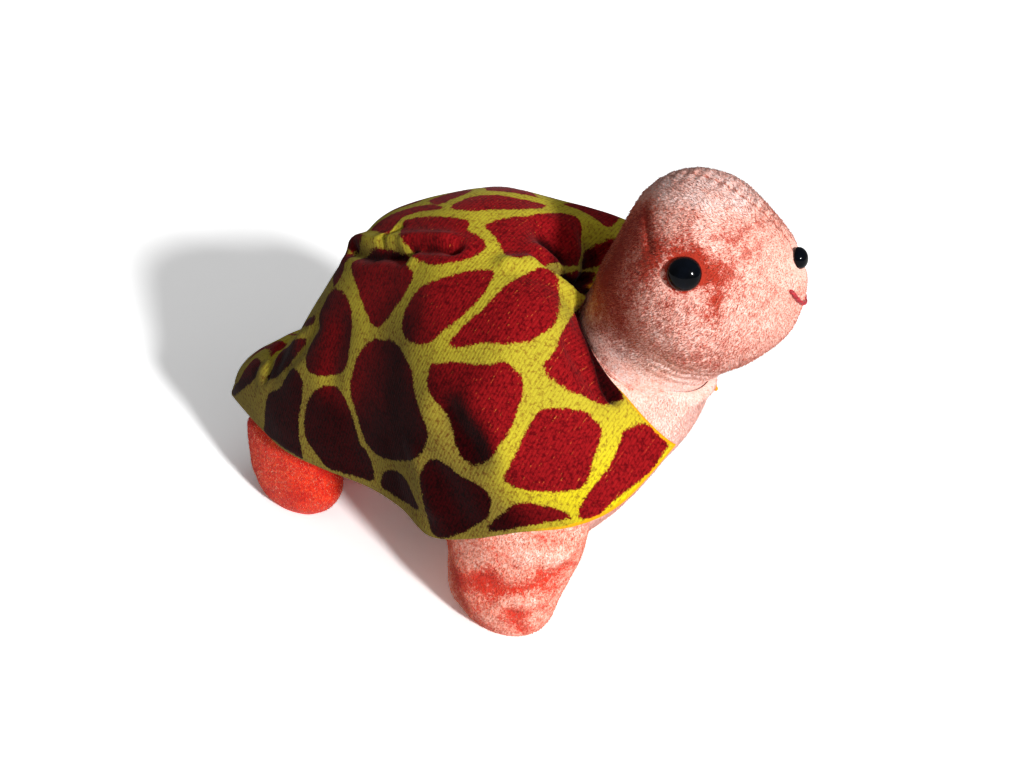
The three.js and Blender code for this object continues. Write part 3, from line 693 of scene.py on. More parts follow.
def shellLookup(count=420, widest=0.5):
    # the side of the shell that the photo shows, as points and their pixels
    t, turn = np.meshgrid(np.linspace(0, 1, count), np.linspace(-1, widest, count), indexing="ij")
    points = shellFace(t, turn)
    eye = np.array(photoView["target"]) + cameraAxes(photoView)[2] * photoView["distance"]
    facing = ((eye - points) * gridNormals(points)).sum(-1) > 0
    points = points[facing]
    return points, np.stack(seenAt(points), -1)


shellSeen, shellPixels = shellLookup()


def onShell(pixel):
    # the point of the shell under one pixel of the photo
    x, y, depth = shellPixels.T
    return shellSeen[np.argmin((x - pixel[0]) ** 2 + (y - pixel[1]) ** 2 + 0.05 * depth)]


def drapeLine(pixels):
    # a line through pixels of the photo, laid on the shell
    marks = np.array(pixels, float)
    fine = splineRow(marks, np.linspace(0, 1, 5 * (len(marks) - 1) + 1))
    return np.array([onShell(mark) for mark in fine])


def outlineReach(points, pixels, values):
    # mm inside a closed outline, less than 0 outside it, both laid flat on the outline's own plane
    corners = np.array([onShell(pixel) for pixel in pixels])
    centre = corners.mean(0)
    axes = np.linalg.svd(corners - centre)[2]
    ring = (corners - centre) @ axes[:2].T
    count = len(ring)
    ring = splineRow(np.concatenate([ring[-1:], ring, ring[:2]]),
                     np.linspace(1, count + 1, 4 * count + 1) / (count + 2))
    widest = np.linalg.norm(corners - centre, axis=-1).max() + values["margin"]
    away = points - centre
    over = np.abs(away @ axes[2]) - np.abs((corners - centre) @ axes[2]).max() - values["offPlane"]
    near = (np.linalg.norm(away, axis=-1) < widest) & (over < values["furthestOff"])
    place = away[near] @ axes[:2].T
    crossings = np.zeros(len(place), int)
    for (x1, y1), (x2, y2) in zip(ring[:-1], ring[1:]):
        if y1 != y2:
            level = (y1 > place[:, 1]) != (y2 > place[:, 1])
            crossings += level & (place[:, 0] < (x2 - x1) * (place[:, 1] - y1) / (y2 - y1) + x1)
    reach = np.full(points.shape[:-1], -99.0)
    signed = distanceToLine(place, ring) * np.where(crossings % 2 == 1, 1, -1)
    reach[near] = np.minimum(signed, -over[near])
    return reach


def patchDistance(points, normals, values):
    # mm inside a patch, or less than 0 on the net
    seen = np.max([outlineReach(points, pixels, values) for pixels in values["outlines"].values()], axis=0)
    # past the shell's own edge in the photo, the outlines end
    facing = normals @ cameraAxes(photoView)[2]
    seen = np.minimum(seen, values["rimSlope"] * (facing + values["rimStart"]))
    reach = [distanceToLine(points, spine(marks)) - grown for grown, *marks in values["spines"]]
    reach = np.sort(np.stack(reach, -1), axis=-1)[..., :6]
    nearest = reach[..., 0]
    soft = values["rounding"]
    others = reach[..., 1:]
    second = nearest - soft * np.log(np.exp(-(others - nearest[..., None]) / soft).sum(-1) + 1e-12)
    inside = (second - nearest) / 2 - values["netHalfWidth"]
    far = np.minimum.reduce([inside, values["cap"] - nearest, -seen - 2 * values["netHalfWidth"]])
    return np.maximum(seen, far)


def evenly(count, crowd):
    # places from 0 to 1, closer together at both ends
    plain = np.linspace(0, 1, count)
    return plain - crowd * np.sin(2 * math.pi * plain) / (2 * math.pi)


def shellBorder():
    # the cover's four edges
    side = np.linspace(0, 1, 40)
    turn = np.linspace(-1, 1, 40)
    reach = meetsNeck(turn, collar["reach"])
    return [shellFace(side * reach[0], -1), shellFace(side * reach[-1], 1), shellFace(reach, turn),
            shellFace(0 * turn, turn)]


sewn = {
    "rows": 235,
    "columns": 190,
    "crowd": (0.45, 0.35),  # how much closer the grid's lines come together at its edges
    "wave": 0.55,  # mm, slow unevenness of the cloth
    "waveSize": 26,
    "smallWave": 0.3,
    "smallWaveSize": 11,
    "lip": 0.28,  # how far the cloth stands up beside a fold, as a share of its depth
    "lipAt": 1.9,  # and how far off, in half-widths
    "flatEdge": 2.5,  # mm from an edge, over which folds and waves fade in
    "hemSwell": 0.35,  # the turned hem is a little thicker than the cloth
    "hemSwellAt": 2.6,
    "hemSwellWidth": 2.2,
    "edgeSteps": 6,
}
foldLines = [(fold, drapeLine(fold[2:])) for fold in shellFolds]
foldLines += [(fold, spine(fold[2:])) for fold in farFolds]


def shellLift(base):
    # how far the sewn cover stands off its plain form, in mm, and each point's distance from an edge
    edge = np.minimum.reduce([distanceToLine(base, line) for line in shellBorder()])
    lift = (sewn["wave"] * ripple(base, sewn["waveSize"], 1)
            + sewn["smallWave"] * ripple(base, sewn["smallWaveSize"], 2))
    for (depth, width, *_), line in foldLines:
        away = distanceToLine(base, line) / width
        lift -= depth * (np.exp(-away ** 2) - sewn["lip"] * np.exp(-(away - sewn["lipAt"]) ** 2))
    return lift * smooth(edge, 0, sewn["flatEdge"]), edge


def shellVelour(values):
    finish = Finish("shellVelour", 0.9, {"Sheen Weight": 0.04, "Sheen Roughness": 0.4,
                                         "Specular IOR Level": 0.05})
    place = finish.place()
    cloth = finish.add("ShaderNodeUVMap", uv_map="cloth").outputs["UV"]
    split = finish.add("ShaderNodeSeparateXYZ", {"Vector": cloth})
    across, along = split.outputs[0], split.outputs[1]
    fine = finish.noise(place, 1500, 2)
    coarse = finish.noise(place, 420, 2)
    # loose ends of pile move the print's edges
    wobble = finish.plus(finish.times(finish.minus(fine, 0.5), values["fineFuzz"]),
                         finish.times(finish.minus(coarse, 0.5), values["coarseFuzz"]))
    inside = finish.plus(finish.attribute("patch"), finish.times(wobble, values["fuzz"]))
    onPatch = finish.ramp(inside, -0.35, 0.4)
    # knit ribs: the sheet's own UV holds mm / 100; the grooves between the ribs are painted darker, as
    # painted shade
    wave = finish.times(across, 100 * 2 * math.pi / values["wale"])
    rib = finish.maths("MULTIPLY_ADD", finish.maths("SINE", wave), 0.5, 0.5)
    stretched = finish.add("ShaderNodeCombineXYZ", {
        0: finish.times(across, 100 / values["wale"] * 1.6),
        1: finish.times(along, 100 / values["fleckLength"])}).outputs[0]
    dash = finish.noise(stretched, 1.0, 1)
    tufts = finish.noise(place, 850, 3, 0.65)
    slow = finish.noise(place, 55, 2)
    # the painted light and shade from the mesh, made uneven by slow noise; the colours below are lit and
    # painted-shade copies chosen by it
    lit = finish.plus(finish.attribute("paintedLight"), finish.times(finish.minus(slow, 0.5), 0.5))
    lit = finish.ramp(lit, 0.0, 1.0)
    # painted light: the net is brighter yellow towards the front
    net = finish.mix(finish.attribute("frontPaintedLight"), values["net"], values["netBright"])
    net = finish.mix(lit, values["netPaintedShade"], net)
    shade = finish.mix(lit, values["netShadePaintedShade"], values["netShade"])
    net = finish.mix(finish.ramp(tufts, 0.47, 0.68, 0, 0.8), net, shade)
    # painted shade in the rib grooves
    net = finish.mix(finish.ramp(rib, 0.3, 0.0, 0, 0.3), net, shade)
    red = finish.mix(lit, values["patchPaintedShade"], values["patch"])
    deep = finish.mix(lit, values["patchDeepPaintedShade"], values["patchDeep"])
    red = finish.mix(finish.ramp(tufts, 0.42, 0.66, 0, 0.9), red, deep)
    # painted shade in the rib grooves
    red = finish.mix(finish.ramp(rib, 0.35, 0.0, 0, 0.4), red, deep)
    flecks = finish.times(finish.ramp(dash, 0.62, 0.72), finish.ramp(rib, 0.5, 0.9))
    flecks = finish.times(flecks, finish.ramp(finish.noise(place, 1900, 1), 0.45, 0.6))
    # the flecks fade out in the painted shade
    flecks = finish.times(flecks, finish.ramp(lit, 0.45, 1.0))
    red = finish.mix(finish.times(flecks, 0.6), red, values["fleck"])
    colour = finish.mix(onPatch, net, red)
    # painted highlight: bright yellow along the cover's edges, shown only where the painted light is strong
    fold = finish.ramp(finish.plus(finish.attribute("edge"), finish.times(wobble, 0.5)), 0.9, 0.3)
    fold = finish.times(fold, finish.ramp(lit, 0.2, 0.8))
    finish.colour(finish.mix(fold, colour, values["fold"]))
    finish.bump(finish.plus(finish.times(rib, 0.3), finish.times(tufts, 1.0)), 0.3, 0.7)
    return finish.material


# painted light and shade on the cover: faces towards the collar and upwards are painted lighter, faces
# towards the tail and the floor darker, and the folds darker still
shellPaintedLight = {
    "towards": unit(np.array([0.0, -0.72, 0.69])),
    "range": (-0.5, 0.6),
    "plain": 1.5,  # how much the plain form counts against the folds
    # painted shade in the folds, by how deep they are
    "foldPaintedShade": 0.8,
    "foldDepth": (1.2, 4),  # mm
    "paintedLightY": (20, 75),  # mm forwards, over which the net's yellow is painted brighter, as painted light towards the front
    "paintedLightZ": (-105, -60),  # and mm downwards
}


def layShell(rows, columns, crowd, radius, first=0.0, last=1.0):
    # a grid over the shell from the tail to the collar: its places, its points and their normals
    turn = evenly(columns, crowd[1]) * 2 - 1
    reach = np.minimum(meetsNeck(turn, radius), last)
    t = first + evenly(rows, crowd[0])[:, None] * (reach - first)
    turns = np.broadcast_to(turn, t.shape)
    return t, turns, shellFace(t, turns), faceNormal(shellFace, t, turns)


def clothPlaces(across, base, source):
    # each point's place on the flat cloth in mm / 100: across it, and round it from the right hem
    steps = np.linalg.norm(np.diff(base, axis=1), axis=-1)
    girth = np.concatenate([np.zeros((len(base), 1)), np.cumsum(steps, axis=1)], axis=1)
    return np.stack([across.ravel(), girth.ravel()], -1)[source] / 100


def makeShellCover():
    _, _, base, normal = layShell(sewn["rows"], sewn["columns"], sewn["crowd"], collar["reach"])
    patch = patchDistance(base, normal, shellPrint)
    lift, edge = shellLift(base)
    lift += sewn["hemSwell"] * np.exp(-((edge - sewn["hemSwellAt"]) / sewn["hemSwellWidth"]) ** 2)
    outer = base + normal * lift[..., None]
    inner = outer - normal * shell["coverThickness"]
    points, faces, source = thickSheet(outer, inner, sewn["edgeSteps"])
    alongY, alongZ = shellPrint["ribWay"]
    cloth = clothPlaces(-base[..., 1] * alongY - base[..., 2] * alongZ, base, source)
    formed = gridNormals(outer)
    formed *= np.sign((formed * normal).sum(-1, keepdims=True))
    formed = unit(formed + shellPaintedLight["plain"] * normal)
    # painted light by which way each face turns, then painted shade in the folds and along the listed marks
    paintedLight = smooth(formed @ shellPaintedLight["towards"], *shellPaintedLight["range"])
    paintedLight = paintedLight - shellPaintedLight["foldPaintedShade"] * smooth(-lift, *shellPaintedLight["foldDepth"])
    for amount, width, *pixels in shellPaintedShade:
        paintedLight -= amount * np.exp(-(distanceToLine(base, drapeLine(pixels)) / width) ** 2)
    paintedLight = np.clip(paintedLight, 0, 1)
    # painted light: brighter net towards the front and lower down
    frontPaintedLight = smooth(-base[..., 1], *shellPaintedLight["paintedLightY"]) * smooth(-base[..., 2], *shellPaintedLight["paintedLightZ"])
    piece = addPiece("shellCover", points, faces, shellVelour(shellPrint),
                     {"patch": patch.ravel()[source], "edge": edge.ravel()[source],
                      "paintedLight": paintedLight.ravel()[source], "frontPaintedLight": frontPaintedLight.ravel()[source]}, cloth)
    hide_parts("shell_cover")
    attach(piece, "torso")
    print("shell cover made,", len(piece.data.polygons), "faces")


makeShellCover()


# Wadding and lining

weavePitch = 0.8  # mm


def fibreFinish(name, deep, pale, size):
    return Finish(name, 0.95, {"Sheen Weight": 0.1}).mottle(deep, pale, 0.8, 0.8, size, 4, 0.65, 1.5)


def cottonFinish(name, deep, pale):
    # a plain weave
    finish = Finish(name, 0.95, {"Sheen Weight": 0.1})
    cloth = finish.add("ShaderNodeUVMap", uv_map="cloth").outputs["UV"]
    split = finish.add("ShaderNodeSeparateXYZ", {"Vector": cloth})
    waves = [finish.maths("SINE", finish.times(split.outputs[k], 100 * 2 * math.pi / weavePitch))
             for k in (0, 1)]
    weave = finish.maths("MULTIPLY_ADD", finish.times(*waves), 0.5, 0.5)
    slub = finish.noise(finish.place(), 300, 2)
    tone = finish.plus(finish.times(weave, 0.7), finish.times(slub, 0.5))
    finish.colour(finish.mix(finish.ramp(tone, 0.2, 0.9), deep, pale))
    finish.bump(weave, 0.12, 0.7)
    return finish.material


waddingFibre = fibreFinish("waddingFibre", linear(200, 198, 192), linear(240, 238, 232), 420)
stuffingFibre = fibreFinish("stuffingFibre", linear(206, 203, 198), linear(244, 242, 238), 300)
liningCotton = cottonFinish("liningCotton", linear(184, 142, 100), linear(226, 190, 150))


def makeShellLayer(name, node, top, under, material):
    t, turns, base, normal = layShell(100, 90, (0.3, 0.3), collar["layerReach"], collar["layerFirst"],
                                      collar["layerLast"])
    lift = np.minimum(shellLift(base)[0], 0.3)
    outer = base + normal * (lift - top(t, turns))[..., None]
    inner = base + normal * (lift - under(t, turns))[..., None]
    points, faces, source = thickSheet(outer, inner, 4)
    piece = addPiece(name, points, faces, material, None, clothPlaces(-base[..., 1], base, source))
    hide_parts(node)
    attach(piece, "torso")


def waddingTop(t, turn):
    return shell["coverThickness"] + shell["clearance"] + 0 * t


def waddingUnder(t, turn):
    return waddingTop(t, turn) + waddingDepth(t, turn)


def liningTop(t, turn):
    return waddingUnder(t, turn) + shell["clearance"]


def liningUnder(t, turn):
    return liningTop(t, turn) + shell["liningThickness"]


makeShellLayer("shellWadding", "shell_wadding", waddingTop, waddingUnder, waddingFibre)
makeShellLayer("gloveLining", "glove_lining", liningTop, liningUnder, liningCotton)
print("wadding and lining made")


# Plush, shared by the head, belly and legs

def plush(name, tip, middle, root, bright):
    # tip, middle and root are the pile's colours; recess (partly painted shade) and the pale places (partly
    # painted light) come from the mesh
    finish = Finish(name, 0.85, {"Sheen Weight": 0.15, "Sheen Roughness": 0.45, "Specular IOR Level": 0.1})
    place = finish.place()
    blotch = finish.noise(place, 150, 3, 0.6, 0.4)
    clump = finish.noise(place, 480, 3, 0.65, 0.8)
    hair = finish.noise(place, 1500, 2, 0.6, 1.0)
    recess = finish.attribute("recess")
    paleAndPaintedLight = finish.attribute("paleAndPaintedLight")
    mixed = finish.plus(finish.times(blotch, 0.6), finish.times(clump, 0.8))
    mixed = finish.plus(mixed, finish.times(hair, 0.8))
    mixed = finish.minus(mixed, finish.times(recess, 0.55))
    mixed = finish.plus(mixed, finish.times(paleAndPaintedLight, 0.12))
    colour = finish.mix(finish.ramp(mixed, 0.72, 1.04), root, middle)
    colour = finish.mix(finish.ramp(mixed, 1.0, 1.34), colour, tip)
    finish.colour(finish.mix(finish.times(paleAndPaintedLight, 0.5), colour, bright))
    finish.bump(finish.plus(finish.times(clump, 1.0), finish.times(hair, 0.8)), 0.6, 0.5)
    return finish.material


# a plush's tones from its roots to the tips of its pile
pinkTones = [linear(176, 52, 34), linear(232, 128, 102), linear(247, 186, 170), linear(253, 226, 220)]
salmonTones = [linear(214, 50, 30), linear(240, 116, 76), linear(249, 172, 150), linear(253, 222, 210)]
# painted shade: the hind legs' plush is the pink plush as it looks in shade, darker and redder
shadedPinkTones = [linear(196, 22, 14), linear(234, 54, 26), linear(250, 112, 52), linear(255, 208, 178)]
pinkPlush = plush("pinkPlush", pinkTones[3], pinkTones[2], pinkTones[0], linear(246, 190, 172))
salmonPlush = plush("salmonPlush", salmonTones[3], salmonTones[2], salmonTones[0], salmonTones[2])
shadedPinkPlush = plush("shadedPinkPlush", shadedPinkTones[2], shadedPinkTones[1], shadedPinkTones[0], shadedPinkTones[2])


# Pile: short strands that stand on the plush

pile = {
    "length": 0.95,  # mm
    "radius": 0.15,
    "lean": 0.74,  # 0 stands up, 1 lies flat
    "tangle": 0.6,
    "seed": 5,
    "tone": 0.66,  # from 0, as its roots, to 1, as its tips
    "recessTone": 0.62,  # how much darker it is in a recess
    "paleTone": 0.06,  # and how much paler on the pale places, partly painted light
}


def pileColour(name, tones):
    # a strand's colour hangs on its own tone and on how far along it the point is
    finish = Finish(name, 0.8, {"Sheen Weight": 0.1, "Specular IOR Level": 0.1})
    tone = finish.times(finish.attribute("tone"),
                        finish.maths("MULTIPLY_ADD", finish.attribute("along"), 0.24, 0.82))
    colour = finish.mix(finish.ramp(tone, 0.05, 0.38), tones[0], tones[1])
    colour = finish.mix(finish.ramp(tone, 0.35, 0.62), colour, tones[2])
    colour = finish.mix(finish.ramp(tone, 0.6, 0.95), colour, tones[3])
    finish.colour(colour)
    return finish.material


pinkPile = pileColour("pinkPile", pinkTones)
salmonPile = pileColour("salmonPile", salmonTones)
shadedPinkPile = pileColour("shadedPinkPile", shadedPinkTones)


def pileTree():
    # strands on a host mesh, which carries comb (which way), thick (how dense) and tall (how long)
    tree = bpy.data.node_groups.new("pileStrands", "GeometryNodeTree")
    asked = {}
    for label, kind in (("Host", "Geometry"), ("Density", "Float"), ("Length", "Float"), ("Radius", "Float"),
                        ("Tangle", "Float"), ("Seed", "Int"), ("Finish", "Material")):
        socket = tree.interface.new_socket(name=label, in_out="INPUT", socket_type="NodeSocket" + kind)
        asked[label] = socket.identifier
    tree.interface.new_socket(name="Strands", in_out="OUTPUT", socket_type="NodeSocketGeometry")

    def add(kind, inputs=None, **settings):
        return addNode(tree, kind, inputs, **settings)

    def named(label, kind="FLOAT"):
        return add("GeometryNodeInputNamedAttribute", {"Name": label}, data_type=kind).outputs["Attribute"]

    def store(label, geometry, value, domain="POINT"):
        return add("GeometryNodeStoreNamedAttribute", {"Geometry": geometry, "Name": label, "Value": value},
                   data_type="FLOAT", domain=domain).outputs[0]

    given = add("NodeGroupInput").outputs
    thick = add("ShaderNodeMath", {0: given["Density"], 1: named("thick")}, operation="MULTIPLY")
    spots = add("GeometryNodeDistributePointsOnFaces", {
        "Mesh": given["Host"], "Density": thick.outputs[0], "Seed": given["Seed"]},
        distribute_method="RANDOM")
    strand = add("GeometryNodeMeshCone", {
        "Vertices": 3, "Side Segments": 1, "Radius Top": 0.0,
        "Radius Bottom": given["Radius"], "Depth": given["Length"]}, fill_type="NONE")
    where = add("ShaderNodeSeparateXYZ", {0: add("GeometryNodeInputPosition").outputs[0]})
    along = add("ShaderNodeMath", {0: where.outputs[2], 1: given["Length"]}, operation="DIVIDE")
    spread = add("ShaderNodeMath", {0: where.outputs[0], 1: given["Radius"]}, operation="DIVIDE")
    marked = store("spread", store("along", strand.outputs["Mesh"], along.outputs[0]), spread.outputs[0])
    wild = add("FunctionNodeRandomValue", {"Seed": 1}, data_type="FLOAT_VECTOR")
    wild.inputs["Min"].default_value = (-1, -1, -1)
    wild.inputs["Max"].default_value = (1, 1, 1)
    jitter = add("ShaderNodeVectorMath", {0: wild.outputs[0], "Scale": given["Tangle"]}, operation="SCALE")
    heading = add("ShaderNodeVectorMath", {0: named("comb", "FLOAT_VECTOR"), 1: jitter.outputs[0]},
                  operation="ADD")
    turned = add("FunctionNodeAlignRotationToVector", {"Vector": heading.outputs[0]}, axis="Z")
    grown = add("FunctionNodeRandomValue", {"Seed": 2}, data_type="FLOAT")
    limits = [socket for socket in grown.inputs if socket.enabled and socket.name in ("Min", "Max")]
    for socket, value in zip(limits, (0.7, 1.25)):
        socket.default_value = value
    tall = add("ShaderNodeMath", {0: grown.outputs[1], 1: named("tall")}, operation="MULTIPLY")
    planted = add("GeometryNodeInstanceOnPoints", {
        "Points": spots.outputs["Points"], "Instance": marked,
        "Rotation": turned.outputs[0], "Scale": tall.outputs[0]})
    chance = add("FunctionNodeRandomValue", {"Seed": 3}, data_type="FLOAT")
    told = store("chance", planted.outputs[0], chance.outputs[1], "INSTANCE")
    real = add("GeometryNodeRealizeInstances", {"Geometry": told})
    coated = add("GeometryNodeSetMaterial", {"Geometry": real.outputs[0], "Material": given["Finish"]})
    add("NodeGroupOutput", {"Strands": coated.outputs[0]})
    return tree, asked


strandTree, strandInputs = pileTree()


def combing(normal, towards, lean):
    # the way each strand points: out of the cloth, bent over towards one side along it
    flat = towards - (towards * normal).sum(-1, keepdims=True) * normal
    return unit(normal * (1 - lean) + unit(flat) * lean)


def readFloats(mesh, label):
    values = np.zeros(len(mesh.vertices), np.float32)
    mesh.attributes[label].data.foreach_get("value", values)
    return values


def growPile(name, grid, wrap, fields, comb, density, material, place, speckle=0.2):
    # fields holds recess, the pale places (partly painted light), thick and tall for each point, place is
    # called with the finished piece, and speckle is how much the strands differ in tone
    host = addPiece(name + "Host", grid, gridFaces(*grid.shape[:2], wrap), material, fields)
    # addPiece merges points, so the comb is carried over by nearest place
    tree = nearestTree(grid.reshape(-1, 3) * millimetre)
    nearest = [tree.find(vertex.co)[1] for vertex in host.data.vertices]
    layer = host.data.attributes.new("comb", "FLOAT_VECTOR", "POINT")
    layer.data.foreach_set("vector", np.asarray(comb, np.float32).reshape(-1, 3)[nearest].ravel())
    grower = host.modifiers.new("strands", "NODES")
    grower.node_group = strandTree
    for label, value in (("Density", density * 1e6), ("Length", pile["length"] * millimetre),
                         ("Radius", pile["radius"] * millimetre), ("Tangle", pile["tangle"]),
                         ("Seed", pile["seed"]), ("Finish", material)):
        grower[strandInputs[label]] = value
    made = evaluated(host)
    host.modifiers.remove(grower)
    bpy.data.objects.remove(host)
    chance, recess, paleAndPaintedLight, spread, along = (
        readFloats(made, label) for label in ("chance", "recess", "paleAndPaintedLight", "spread", "along"))
    tone = (pile["tone"] + speckle * (chance - 0.5) * 2 - pile["recessTone"] * recess
            + pile["paleTone"] * paleAndPaintedLight)
    tone = np.clip(tone, 0.02, 0.98) + 0.01 * spread
    for label in [a.name for a in made.attributes if a.name in
                  ("chance", "recess", "paleAndPaintedLight", "spread", "comb", "thick", "tall")]:
        made.attributes.remove(made.attributes[label])
    made.attributes.new("tone", "FLOAT", "POINT").data.foreach_set("value", tone.astype(np.float32))
    for old in list(made.uv_layers):
        made.uv_layers.remove(old)
    baked = made.uv_layers.new(name="OFBake")
    places = np.stack([tone, 0.05 + 0.9 * along], -1).astype(np.float32)
    baked.data.foreach_set("uv", places[cornerPoints(made)].ravel())
    made.name = name
    made.shade_smooth()
    piece = addObject(name, made)
    place(piece)
    print(name, "grown,", len(made.polygons), "faces")


def keepLargest(piece):
    # drops the loose scraps that a cut leaves
    tidy = bmesh.new()
    tidy.from_mesh(piece.data)
    left, islands = set(tidy.verts), []
    while left:
        stack = [left.pop()]
        island = list(stack)
        while stack:
            for e in stack.pop().link_edges:
                for v in e.verts:
                    if v in left:
                        left.discard(v)
                        stack.append(v)
                        island.append(v)
        islands.append(island)
    islands.sort(key=len)
    for island in islands[:-1]:
        bmesh.ops.delete(tidy, geom=island, context="VERTS")
    tidy.to_mesh(piece.data)
    tidy.free()


def cutAway(piece, cutter):
    # takes the cutter's room out of a piece, and removes the cutter
    cut = piece.modifiers.new("cut", "BOOLEAN")
    cut.operation = "DIFFERENCE"
    cut.solver = "MANIFOLD"
    cut.object = cutter
    made = evaluated(piece)
    piece.modifiers.remove(cut)
    old = piece.data
    piece.data = made
    made.name = piece.name
    bpy.data.meshes.remove(old)
    bpy.data.objects.remove(cutter)


# Head

headForm = {
    "segments": 220,
    "rows": 170,
    "outlineSteps": 90,
    "muzzle": 0.21,  # how much narrower the face is than the head
    "back": 0.88,  # how deep the back of the head is, against the face
    "easeUp": 9,  # mm up the neck, where the cheeks run into it
    "easeWidth": 9,
    "keel": 2.0,  # how far the face comes to an edge along its middle seam
    "keelWidth": 6,
    "seamDepth": 0.5,  # mm, of the seam over the crown from the nape to the nose
    "seamWidth": 1.1,
    "pucker": 0.22,  # mm, the scallops beside that seam
    "puckerPitch": 4.2,
    "puckerWidth": 6,
    "eyePit": 1.1,  # mm, how deep the eyes are pulled in
    "eyePitWidth": 7,
    "eyeTurn": 81,  # degrees round from the face
    "eyeRise": 20,
    "nosePit": 0.8,
    "nosePitWidth": 5,
    "noseRise": 18,
    "wrinkle": 0.2,  # mm, where the cheek meets the neck
    "wrinkleGap": 3.6,
    "wave": 0.5,  # mm, slow unevenness of the plush
    "smallWave": 0.18,
    "pileDensity": 3.9,  # strands per mm2
    "pale": 0.36,  # how much paler the crown is painted, as painted light from above
    "flare": 1.4,  # how far the neck swells to fill the back of the collar
    # trims: depth in mm (less than 0 swells), width in degrees, then turn and rise
    "trims": [
        (2.6, 30, 48, 34), (2.6, 30, -48, 34), (2.6, 32, 0, 54), (1.4, 30, 0, 84), (-0.6, 22, 0, 14),
        (2.8, 27, 150, 10), (2.8, 27, -150, 10), (1.6, 24, 24, -2), (1.6, 24, -24, -2), (0.6, 22, 0, -34),
    ],
    # creases: depth and half-width in mm, then (turn, rise)
    "creases": [(0.9, 1.3, (-131, 49), (-117, 41), (-105, 29)), (0.5, 1.6, (-60, -30), (-78, -36))],
    # where the pile is parted down to its roots: how much, half-width in mm, then (turn, rise)
    "partings": [
        (0.6, 3.4, (-74, 28), (-67, 17)),
        (0.36, 2.8, (-64, 8), (-66, -2)),
        (0.3, 4.5, (-60, 22), (-57, 12)),
        (0.35, 5.0, (-95, 30), (-84, 33)),
        (0.3, 6.0, (-103, 20), (-108, 6)),
        (0.45, 4.5, (-130, 48), (-116, 40), (-104, 28)),
        (0.45, 9.0, (-136, 30), (-140, 4)),
        (0.35, 6.0, (-122, -12), (-112, -24)),
        (0.25, 2.0, (-52, 38), (-34, 44), (-16, 47)),
        (0.2, 2.4, (-40, 30), (-20, 36)),
        (0.15, 5.0, (-60, -30), (-80, -36)),
    ],
}
leanAngle = math.radians(90 + neck["lean"])
neckTurn = np.array(Matrix.Rotation(leanAngle, 3, "X"))


def fromNeck(points):
    # the neck's own frame: +Y up the neck, +Z towards the face
    return np.asarray(points) @ neckTurn.T + neck["root"]


headCentre = fromNeck(np.array([0, neck["length"], 0]))


def outward(turnDegrees, riseDegrees):
    turn, rise = math.radians(turnDegrees), math.radians(riseDegrees)
    return np.array([math.sin(turn) * math.cos(rise), -math.cos(turn) * math.cos(rise), math.sin(rise)])


def arcPoints(centre, radius, start, end, steps):
    angle = np.linspace(start, end, steps + 1)
    return asPoints(radius * np.cos(angle), centre + radius * np.sin(angle))


def headOutline():
    neckR, headR, length, steps = neck["radius"], neck["headRadius"], neck["length"], headForm["outlineSteps"]
    crease = (length ** 2 + neckR ** 2 - headR ** 2) / (2 * length)
    creaseRadius = math.sqrt(neckR ** 2 - crease ** 2)
    mouthAngle = -math.acos(neck["mouthRadius"] / neckR)
    lower = arcPoints(0, neckR, mouthAngle, math.asin(crease / neckR), steps // 2)
    upper = arcPoints(length, headR, -math.acos(creaseRadius / headR), math.pi / 2, steps)
    return np.concatenate([lower[:-1], upper])


def resample(outline, count):
    # even steps along an outline, which rounds its corners a little
    length = np.concatenate([[0], np.cumsum(np.linalg.norm(np.diff(outline, axis=0), axis=1))])
    even = np.linspace(0, length[-1], count)
    return np.stack([np.interp(even, length, outline[:, k]) for k in range(outline.shape[1])], -1)


def soften(outline, rounds):
    # evens out the rows, apart from the first and the last
    outline = outline.copy()
    for _ in range(rounds):
        outline[1:-1] = (outline[:-2] + 2 * outline[1:-1] + outline[2:]) / 4
    return outline


def latheGrid(outline, segments):
    angle = np.arange(segments) / segments * 2 * math.pi
    radius, height = outline[:, :1], outline[:, 1:]
    return asPoints(radius * np.sin(angle), height + 0 * angle, radius * np.cos(angle))


def flattenBack(grid):
    # the back of the head is flatter than its face
    y = grid[..., 1]
    length, radius = neck["length"], neck["headRadius"]
    flat = smooth(y, length - 0.8 * radius, length) * (1 - smooth(y, length, length + 0.8 * radius))
    squash = 1 + (headForm["back"] - 1) * flat
    grid[..., 2] = np.where(grid[..., 2] < 0, grid[..., 2] * squash, grid[..., 2])
    return grid


def headLine(marks, side):
    # a line over the head through (turn, rise), mirrored where side is -1
    return np.array([headCentre + outward(turn * side, rise) * neck["headRadius"] for turn, rise in marks])


